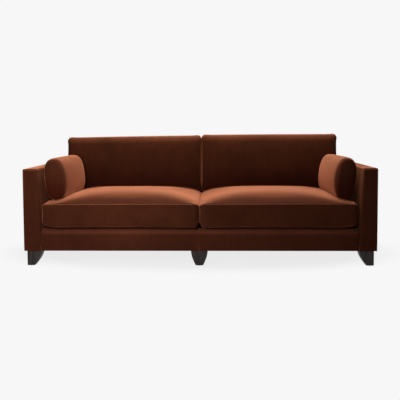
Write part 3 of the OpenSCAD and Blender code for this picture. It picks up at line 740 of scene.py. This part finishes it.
def mirrored(piece, name):
    """A mirror image for the left side, with a mesh of its own."""
    made = new_object(name, piece.data.copy())
    set_points(made, points(made) * (-1, 1, 1))
    made.data.flip_normals()
    return made


# %% [markdown]
# ## Seat cushions
# Two boxed cushions 1.07 m wide fill the seat, with a crown on top and soft round outer ends. The
# upper seam has a thin welt in a lighter copy of the velvet, a painted highlight that shows as a fine
# line. The front lower edge sags over the border's roll, less so at the outer end. The left one is
# made later, as a mirror image.

# %% Sag and rest of the seat cushion
def drooped(p):
    """Lets the front lower edge sag onto the border's roll and turn in above it."""
    p = np.array(p)
    front = fall(p[:, 1], -0.435, 0.035) ** 1.5
    front *= 1 - 0.7 * rise(np.abs(p[:, 0]), 0.98, 0.08)
    p[:, 2] -= 0.026 * front * fall(p[:, 2], 0.345, 0.085)
    p[:, 1] += 0.012 * front * fall(p[:, 2], 0.268, 0.024) ** 2
    return p


def press_seat():
    """Flat on what bears it, and clear of its neighbour, the arm and the back."""
    p = points(seat)
    set_points(seat, kept_in(lifted(p, bearer_z(p[:, 1]) + HAIR)))


# %% Make the seat cushion
seat_half = (seat_high - seat_low) / 2
seat_centre = Vector((*((seat_low + seat_high) / 2)[:2], seat_low[2]))
PAST_HALF = 0.004  # a cushion is made this much too wide, so that pressing flattens its sides
seat, seat_seams = boxed_cushion(
    "seat_cushion_velvet_right", (-seat_half[0] - PAST_HALF, -seat_half[1], 0),
    (seat_half[0] + 0.009, seat_half[1], 2 * seat_half[2] + 0.003), under=0.018, border=0.160,
    corner=0.038, rounding=(0.034, 0.062), powers=(5.0, 4.6, 6.5, 4.6), pressure=1.2, frames=14,
    bed=0.060, draw=0.003, calming=24, upper=0.55)
seat_place = Matrix.Translation(seat_centre)
set_points(seat, drooped(moved(points(seat), seat_place)))
press_seat()
finer(seat)
seat_seams = [drooped(moved(seam, seat_place)) for seam in seat_seams]
for seam in seat_seams:
    pull_in(seat, seam, 0.0025, 0.016)
press_seat()
welted(seat, VELVET_SEAT, seat_seams, 0.0026, 0.0010, lambda p: bearer_z(p[:, 1]), shining=1)
seat_surface = surface_of(seat)
tell(seat)


def seat_top(p, default=0.0):
    """The height of the seat cushion where each point is, or a default where there is none."""
    down = Vector((0, 0, -1))
    hits = [seat_surface.ray_cast(Vector((co[0], co[1], SEAT_CLEAR_Z)), down, 0.5)[0] for co in p]
    return np.array([default if hit is None else hit.z for hit in hits])


def rest_on_seat(piece):
    p = points(piece)
    set_points(piece, lifted(p, seat_top(p) + ON_TOP))


# %% [markdown]
# ## Back cushions
# They stand on the seat cushions and lean on the inside back, as the same boxed shape turned up on its
# edge. The underside is let down or pressed up until it rests on the crowned seat all along.

# %% Settling of the back cushion
BACK_CORNER = 0.030
BACK_END_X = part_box("back_cushion_right")[1][0]


def settled(p):
    """Brings the lower part down or up to the seat's surface, and the lower inner corner down into the
    gap between the cushions."""
    x, y, z = np.array(p).T
    seat_z = seat_top(np.column_stack([np.clip(x, 0.008, 1.062), np.clip(y, 0.10, 0.30)]), 0.45)
    underside_z = 0.449 + 0.14 * (0.33 - y)
    shift = np.clip(seat_z + ON_TOP - underside_z, -0.045, 0.06)
    past = np.clip(BACK_CORNER - x, 0, BACK_CORNER)
    fill = (BACK_CORNER - np.sqrt(BACK_CORNER ** 2 - past ** 2)) * fall(y, 0.26, 0.04)
    return np.column_stack([x, y, z + (shift - fill) * fall(z, 0.60, 0.15) ** 1.5])


# %% Make the back cushion
BACK_CENTRE_Z, BACK_HALF_H, BACK_THICK, BACK_BEHIND = 0.6442, 0.206, 0.224, 0.0005
back_half_w = seat_half[0] + PAST_HALF
back, back_seams = boxed_cushion(
    "back_cushion_velvet_right", (-back_half_w, -BACK_HALF_H, 0), (back_half_w, BACK_HALF_H, BACK_THICK),
    under=0.008, border=0.190, corner=BACK_CORNER, rounding=(0.012, 0.012), powers=(4.0, 4.0, 3.0, 3.0),
    pressure=2.4, frames=16, draw=-0.002, edge=0.030)
leaning_on = (seat_centre.x, back_inside_y(BACK_CENTRE_Z) - HAIR, BACK_CENTRE_Z)
back_place = Matrix.Translation(leaning_on) @ Matrix.Rotation(QUARTER - BACK_LEAN, 4, "X")
set_points(back, kept_in(settled(moved(points(back), back_place)), BACK_BEHIND))
finer(back)
back_seams = [settled(moved(seam, back_place)) for seam in back_seams]
for seam in back_seams:
    pull_in(back, seam, 0.0022, 0.014)
set_points(back, kept_in(points(back), BACK_BEHIND))
rest_on_seat(back)
welted(back, VELVET_BACK, back_seams, 0.0016, 0.0004, seat_top, smoothness=1)
note_height(back)
tell(back)

# %% [markdown]
# ## Bolsters
# A bolster is an oval roll with a flat panel sewn into each end. It starts as a cylinder, squashed to
# the oval and remeshed. Its end seams are pinned before it is blown up, so that the body swells and
# the ends stay nearly flat. It lies on the seat and leans to the arm.

# %% Shape of the bolster
HALF_W, HALF_H, HALF_L = 0.076, 0.148, 0.26055
OVAL = 2 / 2.6  # a power of 1 gives an ellipse, and less gives fuller corners
END_ROUND = 0.026
BODY_SEAM = math.radians(118)


def oval(t):
    """A point of the bolster's oval end."""
    c, s = math.cos(t), math.sin(t)
    return math.copysign(abs(c) ** OVAL, c) * HALF_W, math.copysign(abs(s) ** OVAL, s) * HALF_H


def end_ring(way):
    """The seam of an end panel, inside the rounding of the body."""
    rim = turned_in(1, END_ROUND)
    return np.array([(x * (1 - rim / HALF_W), way * HALF_L, z * (1 - rim / HALF_H))
                     for x, z in (oval(t) for t in np.linspace(0, 4 * QUARTER, 90, endpoint=False))])


deselect()
bpy.ops.mesh.primitive_cylinder_add(vertices=96, radius=0.5, depth=2 * HALF_L, rotation=(QUARTER, 0, 0))
bolster = applied("bolster_velvet_right")
p = points(bolster)
for i, co in enumerate(p):
    p[i, 0], p[i, 2] = oval(math.atan2(co[2], co[0]))
set_points(bolster, p)
remesh(bolster, 0.008)
soften(bolster)
p = points(bolster)
inside = np.clip(1 - np.hypot(p[:, 0] / HALF_W, p[:, 2] / HALF_H) ** 2, 0, 1)
inset = turned_in(rise(np.abs(p[:, 1]), HALF_L - END_ROUND, END_ROUND), END_ROUND)
p[:, 0] *= 1 - inset / HALF_W
p[:, 2] *= 1 - inset / HALF_H
at_end = np.abs(p[:, 1]) > HALF_L - 0.008
p[:, 1] += np.where(at_end, np.sign(p[:, 1]) * 0.010 * inside ** 0.7, 0)
set_points(bolster, p)

# %% Blow up and place the bolster
bolster_seams = [end_ring(way) for way in (-1, 1)]
swell(bolster, from_nearest(p, *bolster_seams) < 0.008, 1.6, 14, cap=0.010)
calm(bolster, bolster_seams, 30, keep=0.012)
p = points(bolster)
full = 2 * np.array([HALF_W + 0.003, HALF_L + 0.010, HALF_H + 0.003])
bolster_scale = full / (p.max(0) - p.min(0))
bolster_place = (Matrix.Translation((0.9970, -0.1334, 0.5823)) @ Matrix.Rotation(math.radians(3.5), 4, "Z")
                 @ Matrix.Rotation(math.radians(6), 4, "Y"))
set_points(bolster, moved(p * bolster_scale, bolster_place))
finer(bolster)
x, z = oval(BODY_SEAM)
body_seam = np.linspace((x, -HALF_L, z), (x, HALF_L, z), 60)
bolster_seams = [moved(seam * bolster_scale, bolster_place) for seam in bolster_seams]
for seam in bolster_seams:
    pull_in(bolster, seam, 0.0022, 0.011)
pull_in(bolster, moved(body_seam * bolster_scale, bolster_place), 0.0012, 0.008)
set_points(bolster, kept_in(points(bolster)))
rest_on_seat(bolster)
welted(bolster, VELVET_BOLSTER, bolster_seams, 0.0021, 0.0006, seat_top)
note_height(bolster)
tell(bolster)

# %% Mirror images for the left side
for right_piece, kind in ((seat, "seat_cushion"), (back, "back_cushion"), (bolster, "bolster")):
    left_piece = mirrored(right_piece, kind + "_velvet_left")
    for side, piece in (("right", right_piece), ("left", left_piece)):
        declare(piece, f"{kind}_{side}", body=f"{kind}_body_{side}")

# %% [markdown]
# No two loose cushions are plumped alike. The top of the left back cushion rises towards the middle,
# and the right one stands a little higher all along.

# %% Plump the back cushions
def plump(name, inner, outer):
    """Raises the top of a back cushion by its own amounts at its inner and its outer end."""
    piece = bpy.data.objects[name]
    p = points(piece)
    raised = inner + (outer - inner) * np.abs(p[:, 0]) / BACK_END_X
    p[:, 2] += eased(rise(p[:, 2], 0.62, 0.23)) * raised
    set_points(piece, p)


plump("back_cushion_velvet_left", 0.014, 0.0)
plump("back_cushion_velvet_right", 0.018, 0.020)

# %% [markdown]
# ## Tight covers
# On the arms, the back and the border under the seat, cloth is pulled over foam and tacked
# underneath. Such a cover is an open skin. A box is shaped to the form, its hidden sides are deleted,
# its edges are rounded, it is cut into small squares, and its panels puff out by a few millimetres.
# Solidify gives it the thickness of cloth.

# %% Parts of a skin
FRONT, REAR, BELOW, ABOVE, LEFT, RIGHT = ((0, -1, 0), (0, 1, 0), (0, 0, -1), (0, 0, 1), (-1, 0, 0), (1, 0, 0))
TIGHT = 0.010  # radius of the edges that are pulled tight


def cut(piece, low, high, step):
    """Cuts the piece into strips along each axis, so that its flat sides can be shaped."""
    edit(piece, "EDGE")
    for axis, normal in enumerate(np.eye(3)):
        count = int((high[axis] - low[axis]) / step)
        for k in range(1, count + 1):
            where = normal * (low[axis] + (high[axis] - low[axis]) * k / (count + 1))
            bpy.ops.mesh.select_all(action="SELECT")
            bpy.ops.mesh.bisect(plane_co=where, plane_no=normal)
    done()


def bulge(piece, puff, still, reach=0.09):
    """Puffs the panels out between their edges, less near an edge, with a slight unevenness."""
    p, n = points(piece), rows(piece, "normal")
    low, high = p.min(0), p.max(0)
    away = np.sort(np.minimum(np.abs(p - low), np.abs(high - p)), axis=1)[:, 1]
    amount = puff * np.clip(away / reach, 0, 1) ** 0.7
    uneven = np.array([noise.noise(Vector(co) * 5.5) for co in p])
    for way in still:
        amount *= 1 - rise(n @ np.array(way), 0.3, 0.4)
    set_points(piece, p + n * (amount * (1 + 0.35 * uneven))[:, None])


def thicken(piece, thickness):
    modify(piece, "SOLIDIFY", thickness=thickness, offset=-1)


# %% A skin over a form
def skin(name, corner_at, low, high, open_sides, radius, puff, thick=0.0024, step=0.045, tight=None,
         segments=5, still=()):
    """Cloth over a box-like form. corner_at moves the box's corners, open_sides are the directions of the
    sides left open, tight picks the ends of edges that are pulled tight, and still says which sides
    stay flat, because a cushion lies against them."""
    low, high = Vector(low), Vector(high)
    piece = new_box(name, low, high)
    for v in piece.data.vertices:
        v.co = corner_at(v.co)
    piece.data.update()
    faces = piece.data.polygons
    edit(piece, "FACE", [any(f.normal.dot(Vector(way)) > 0.9 for way in open_sides) for f in faces])
    bpy.ops.mesh.delete(type="FACE")
    bpy.ops.mesh.select_mode(type="EDGE")
    bpy.ops.mesh.select_all(action="SELECT")
    bpy.ops.mesh.region_to_loop()
    bpy.ops.mesh.select_all(action="INVERT")
    done()
    weights = piece.data.attributes.new("bevel_weight_edge", "FLOAT", "EDGE")
    for e, weight in zip(piece.data.edges, weights.data):
        ends = [piece.data.vertices[i].co for i in e.vertices]
        pulled = tight and all(tight(co) for co in ends)
        weight.value = (TIGHT / radius if pulled else 1.0) if e.select else 0.0
    modify(piece, "BEVEL", limit_method="WEIGHT", width=radius, segments=segments)
    cut(piece, low, high, step)
    bulge(piece, puff, still)
    thicken(piece, thick)
    smooth_shade(piece, 50)
    return piece


def fit_out(piece, node):
    """Hangs a cover on the frame and hides the CAD node that it stands for."""
    declare(piece, node)


# %% Arm covers
arm_low, arm_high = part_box("arm_cover_right")
ARM_ROUND = 0.009
FROM_EDGE = ARM_ROUND + 0.002  # where the top's welt starts and ends


def arm_corner(co):
    return Vector((arm_inside_x(co.z) if co.x < MID_ARM_X else co.x, co.y, co.z))


arm_right = skin("arm_velvet_right", arm_corner, arm_low, arm_high, [BELOW, REAR], ARM_ROUND, 0.0035,
                 still=[LEFT])
front, foot, shoulder = arm_low[1] + 0.0005, arm_low[2], ARM_TOP_Z - ARM_ROUND
outer = arm_high[0] - ARM_ROUND
inner_foot, inner = (arm_inside_x(z) + ARM_ROUND for z in (foot, shoulder))
front_edge = line_through(
    ((inner_foot, front, foot), (inner, front, shoulder), 40),
    ((ARM_TOP_X + FROM_EDGE, front, shoulder), (arm_high[0] - FROM_EDGE, front, shoulder), 12),
    ((outer, front, shoulder), (outer, front, foot), 40))
# The welt along the arm's front edge is in the lighter welt velvet, a painted highlight.
sew_to(arm_right, VELVET_FRAME, flat_welt(arm_right, front_edge, 0.0015, 0.0003, 0))
# The inner faces get the darker velvet copy: painted shade beside the bolsters.
arm_right.data.materials.append(VELVET_INSIDE_SHADED)
for face in arm_right.data.polygons:
    if face.normal.x < -0.9 and face.material_index == 0:
        face.material_index = len(arm_right.data.materials) - 1
for side, piece in (("right", arm_right), ("left", mirrored(arm_right, "arm_velvet_left"))):
    fit_out(piece, f"arm_cover_{side}")
tell(arm_right)

# %% Border under the seat cushions
border_low, border_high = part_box("border_cover")


def border_corner(co):
    return Vector((math.copysign(arm_inside_x(co.z) - 0.0012, co.x), co.y, co.z))


def pressed(p, low, high):
    """Presses points down under the seat's front edge, from nothing at one height to all at another."""
    p = np.array(p)
    p[:, 2] -= dip(p[:, 1]) * rise(p[:, 2], low, high - low)
    return p


border = skin("border_velvet", border_corner, border_low, border_high, [REAR, BELOW], ROLL, 0.0030,
              step=0.030, tight=lambda co: abs(co.x) > 1.0, still=[ABOVE])
(_, y0, z0), (_, y1, z1) = border_low, border_high
centre_seam = line_through(((0, y0, z0), (0, y0, z1 - 0.012), 24), ((0, y0 + 0.012, z1), (0, y1, z1), 10))
pull_in(border, centre_seam, 0.003, 0.014)
set_points(border, pressed(points(border), 0.150, 0.250))
sew_to(border, VELVET_BORDER, flat_welt(border, pressed(centre_seam, 0.150, 0.250), 0.0014))
note_height(border)
fit_out(border, "border_cover")

# %% [markdown]
# The foam behind the border keeps its CAD section, but it is pared down at its ends and along its
# edge, so that the cloth can turn round it.

# %% Foam under the border
def copied(node, name):
    """A copy of a CAD node, whose loose triangles are joined."""
    made = new_object(name, nodes[node].data.copy())
    edit(made)
    bpy.ops.mesh.remove_doubles(threshold=0.00005)
    done()
    return made


PARED, PARED_END = 0.008, 0.022
border_foam = copied("border_pad", "border_foam")
p = points(border_foam)
p[:, 0] -= np.sign(p[:, 0]) * np.where(np.abs(p[:, 0]) > 1.04, PARED_END, 0)
p[:, 1] += np.where(p[:, 1] < y0 + 0.014, PARED, 0)
p[:, 2] -= np.where((p[:, 2] > z1 - 0.016) & (p[:, 1] < y0 + ROLL), PARED, 0)
set_points(border_foam, pressed(p, 0.222, 0.249))
smooth_shade(border_foam, 40)
declare(border_foam, "border_pad")

# %% Inside and outside of the back
def inside_corner(co):
    y = back_inside_y(co.z) if co.y < MID_BACK_Y else co.y
    return Vector((math.copysign(arm_inside_x(co.z) - BESIDE, co.x), y, co.z))


back_inside = skin("back_velvet_inside", inside_corner, *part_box("back_cover_inside"),
                   [REAR, BELOW, RIGHT, LEFT], 0.013, 0.002, still=[FRONT])
sew_to(back_inside, VELVET_FRAME)
fit_out(back_inside, "back_cover_inside")
low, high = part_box("back_cover_outside")
back_outside = skin("back_velvet_outside", lambda co: co, (low[0], low[1] - 0.006, low[2]), high, [FRONT],
                    0.004, 0.0025, thick=0.0015, segments=3)
outside_seam = np.linspace((0, high[1], low[2] + 0.004), (0, high[1], high[2] - 0.004), 40)
pull_in(back_outside, outside_seam, 0.002, 0.012)
sew_to(back_outside, VELVET_FRAME, flat_welt(back_outside, outside_seam, 0.0014))
fit_out(back_outside, "back_cover_outside")

# %% [markdown]
# ## Cloths under the seat and under the sofa
# The deck cloth is a plain dark lining stretched over the felt under the loose cushions. The dust
# cover is a thin bonded cloth under the frame, which sags a little. Both are grids of even squares
# with the thickness of cloth.

# %% Deck cloth and dust cover
def lining(name, node, sag, thick, across, along):
    """A flat cloth in a CAD sheet's place, which may hang a little between its edges."""
    low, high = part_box(node)
    deselect()
    bpy.ops.mesh.primitive_grid_add(x_subdivisions=across, y_subdivisions=along, size=1,
                                    location=((low[0] + high[0]) / 2, (low[1] + high[1]) / 2, high[2]))
    piece = applied(name, (high[0] - low[0], high[1] - low[1], 1))
    p = points(piece)
    middle = (p.max(0) + p.min(0)) / 2
    u, v = ((p - middle)[:, :2] / ((p.max(0) - p.min(0)) / 2)[:2]).T
    ripple = np.array([noise.noise(Vector((co[0] * 3, co[1] * 3, 0.5))) for co in p])
    p[:, 2] -= sag * (1 - u ** 6) * (1 - v ** 4) * (1 + 0.25 * ripple)
    set_points(piece, p)
    thicken(piece, thick)
    smooth_shade(piece, 40)
    print(name, "faces", len(piece.data.polygons))
    return piece


deck = lining("deck_lining", "deck_cloth", 0.0, 0.0016, 90, 32)
dust = lining("dust_lining", "dust_cover", 0.0025, 0.0008, 80, 32)

# %% [markdown]
# ## Timber, boards and metal
# The legs are stained dark as wenge, with the grain still showing. The frame inside is plain pale
# timber, and its boards are pressed fibre. One group makes the grain from stretched noise, and each
# timber gives it its own colours.

# %% A group for wood grain
grain, at, pale, dark = pattern_group("wood_grain", Pale=(0.5, 0.35, 0.2), Dark=(0.3, 0.18, 0.09))
rings = clouds(grain, mapped(grain, at, scale=(60.0, 60.0, 3.2)), 1.0, 5.0, 0.6, 0.8)
pores = clouds(grain, mapped(grain, at, scale=(420.0, 420.0, 14.0)), 1.0)
bands, flecks = remap(grain, rings, 0.36, 0.66), remap(grain, pores, 0.40, 0.62, 0.0, 0.4)
share = maths(grain, "ADD", bands, flecks, clamp=True)
put_out(grain, mix(grain, share, pale, dark), remap(grain, share, 0, 1, 0.38, 0.58), share)

# %% A group for speckled stuff: foam, felt, fibre, pressed board, plastic and brushed steel
speckle, at, base, fleck, size, smooth, rough = pattern_group(
    "speckle", Base=(0.5, 0.5, 0.5), Fleck=(0.3, 0.3, 0.3), Size=300.0, Smooth=0.5, Rough=0.8)
cells = clouds(speckle, at, size, 3.0, 0.7)
broad = clouds(speckle, at, 7.0)
share = remap(speckle, maths(speckle, "ADD", cells, broad), 0.75, 1.3)
put_out(speckle, mix(speckle, share, base, fleck), remap(speckle, cells, 0, 1, smooth, rough), cells)

# %% A group for plain weave
weave, at, warp, weft, count = pattern_group("plain_weave", Warp=(0.05, 0.05, 0.05), Weft=(0.1, 0.1, 0.1),
                                             Threads=500.0)
threads = {"Vector": at, "Scale": count, "Distortion": 0.3, "Detail": 1.0}
waves = [wired(weave, "TexWave", "Fac", threads, bands_direction=way) for way in "XY"]
crossing = maths(weave, "MULTIPLY", *waves)
slub = remap(weave, clouds(weave, at, 18.0, 4.0), 0.4, 0.7, 0.0, 0.35)
share = maths(weave, "ADD", crossing, slub, clamp=True)
put_out(weave, mix(weave, share, warp, weft), remap(weave, share, 0, 1, 0.78, 0.95), crossing)


# %% Timbers and cloths
def grouped(name, group, values, bump=0.2, depth=0.0003, turn=(0, 0, 0), metallic=0.0, specular=0.3):
    """A material whose colour, roughness and relief come from one of the groups."""
    made, tree, shader, colour = patterned(name, group, values, bump, depth, turn)
    feed(tree, shader, {"Base Color": colour, "Metallic": metallic, "Specular IOR Level": specular})
    return made


ACROSS, DEEP = (0, QUARTER, 0), (QUARTER, 0, 0)
PINE = {"Pale": (0.60, 0.42, 0.24), "Dark": (0.42, 0.26, 0.13)}
PALE_UP = grouped("frame_timber_upright", grain, PINE)
PALE_ACROSS = grouped("frame_timber_across", grain, PINE, turn=ACROSS)
PALE_DEEP = grouped("frame_timber_deep", grain, PINE, turn=DEEP)
STAINED = {"Pale": (0.060, 0.046, 0.044), "Dark": (0.024, 0.019, 0.018)}
BLACK = {"Warp": (0.022, 0.019, 0.019), "Weft": (0.048, 0.043, 0.042), "Threads": 260.0}
STRAP = {"Warp": (0.055, 0.055, 0.065), "Weft": (0.12, 0.12, 0.13), "Threads": 120.0}
WENGE = grouped("dark_stained_wood", grain, STAINED, bump=0.35, depth=0.0004, specular=0.2)
LINING = grouped("woven_lining", weave, BLACK, bump=0.4, depth=0.0004, specular=0.15)
WEBBING = grouped("jute_webbing", weave, STRAP, bump=0.5, depth=0.0006, turn=DEEP)


# %% Speckled materials
def speckled(name, base, fleck, size, smooth, rough, **rest):
    """A material of the speckle group, with its own two colours, size of fleck and roughnesses."""
    values = {"Base": base, "Fleck": fleck, "Size": size, "Smooth": smooth, "Rough": rough}
    return grouped(name, speckle, values, **rest)


METAL = {"metallic": 1.0, "specular": 0.5}
BOARD = speckled("pressed_board", (0.30, 0.19, 0.10), (0.18, 0.105, 0.05), 260.0, 0.5, 0.8)
STEEL = speckled("spring_steel", (0.36, 0.36, 0.37), (0.22, 0.22, 0.23), 500.0, 0.28, 0.5, **METAL)
ZINC = speckled("zinc_steel", (0.60, 0.60, 0.62), (0.42, 0.43, 0.46), 240.0, 0.25, 0.45, **METAL)
SOFT = {"bump": 0.5, "depth": 0.0008}
FOAM = speckled("cushion_foam", (0.83, 0.74, 0.48), (0.66, 0.55, 0.30), 420.0, 0.8, 1.0, **SOFT)
FIBRE = speckled("fibre_filling", (0.86, 0.86, 0.84), (0.68, 0.68, 0.66), 160.0, 0.8, 1.0,
                 bump=0.6, depth=0.0012)
FELT = speckled("grey_felt", (0.36, 0.35, 0.33), (0.16, 0.16, 0.17), 210.0, 0.85, 1.0, **SOFT)
GLIDE = speckled("glide_plastic", (0.030, 0.030, 0.031), (0.018, 0.018, 0.019), 900.0, 0.4, 0.6)
DUST_CLOTH = speckled("dust_cloth", (0.020, 0.020, 0.021), (0.038, 0.038, 0.040), 330.0, 0.8, 0.95,
                      bump=0.4, depth=0.0004)

sew_to(deck, LINING)
sew_to(dust, DUST_CLOTH)
sew_to(border_foam, FOAM)
fit_out(deck, "deck_cloth")
fit_out(dust, "dust_cover")

# %% [markdown]
# ## Legs
# The legs' CAD shape is right, and they only lack the softened edges that sanding leaves. Each is
# copied, its loose triangles are joined, flat facets are merged, and its edges get a small bevel.

# %% Soften the legs
for name in [n for n in nodes if n.startswith("leg_") and n != "leg_bolts"]:
    leg = copied(name, name + "_wood")
    edit(leg)
    bpy.ops.mesh.dissolve_limited(angle_limit=math.radians(3))
    done()
    modify(leg, "BEVEL", width=0.0016, segments=3, limit_method="ANGLE", angle_limit=math.radians(40))
    smooth_shade(leg, 35)
    sew_to(leg, WENGE)
    declare(leg, name)
    print(leg.name, len(leg.data.polygons), "faces")

# %% [markdown]
# ## Materials for what stays as CAD
# Everything inside the covers keeps its CAD shape, and is only seen when the model is taken apart.
# The grain of the rails runs along their length.

# %% Give each node its finish
FINISH = {
    PALE_ACROSS: "front_rail back_rail seat_rail_rear back_top_rail",
    PALE_DEEP: "centre_rail side_rail arm_top_rail",
    PALE_UP: "back_uprights corner_blocks arm_post_front arm_post_rear",
    BOARD: "back_outer_board arm_outer_board arm_inner_board arm_facing",
    STEEL: "spring_clips springs",
    ZINC: "leg_bolts",
    WEBBING: "back_webbing",
    FOAM: "back_pad border_pad arm_pad seat_foam",
    FELT: "deck_pad",
    FIBRE: "back_fill bolster_fill",
    GLIDE: "glides",
    LINING: "deck_cloth",
    DUST_CLOTH: "dust_cover",
    WENGE: "leg_front leg_back leg_front_centre leg_back_centre",
}
finish_of = {kind: material for material, kinds in FINISH.items() for kind in kinds.split()}
for name, piece in nodes.items():
    kind = name.removesuffix("_left").removesuffix("_right")
    piece.data.materials.clear()
    piece.data.materials.append(finish_of.get(kind, VELVET_FRAME))
    if kind in ("springs", "leg_bolts", "glides"):
        smooth_shade(piece, 40)
    if kind not in finish_of:
        print("velvet on", name)
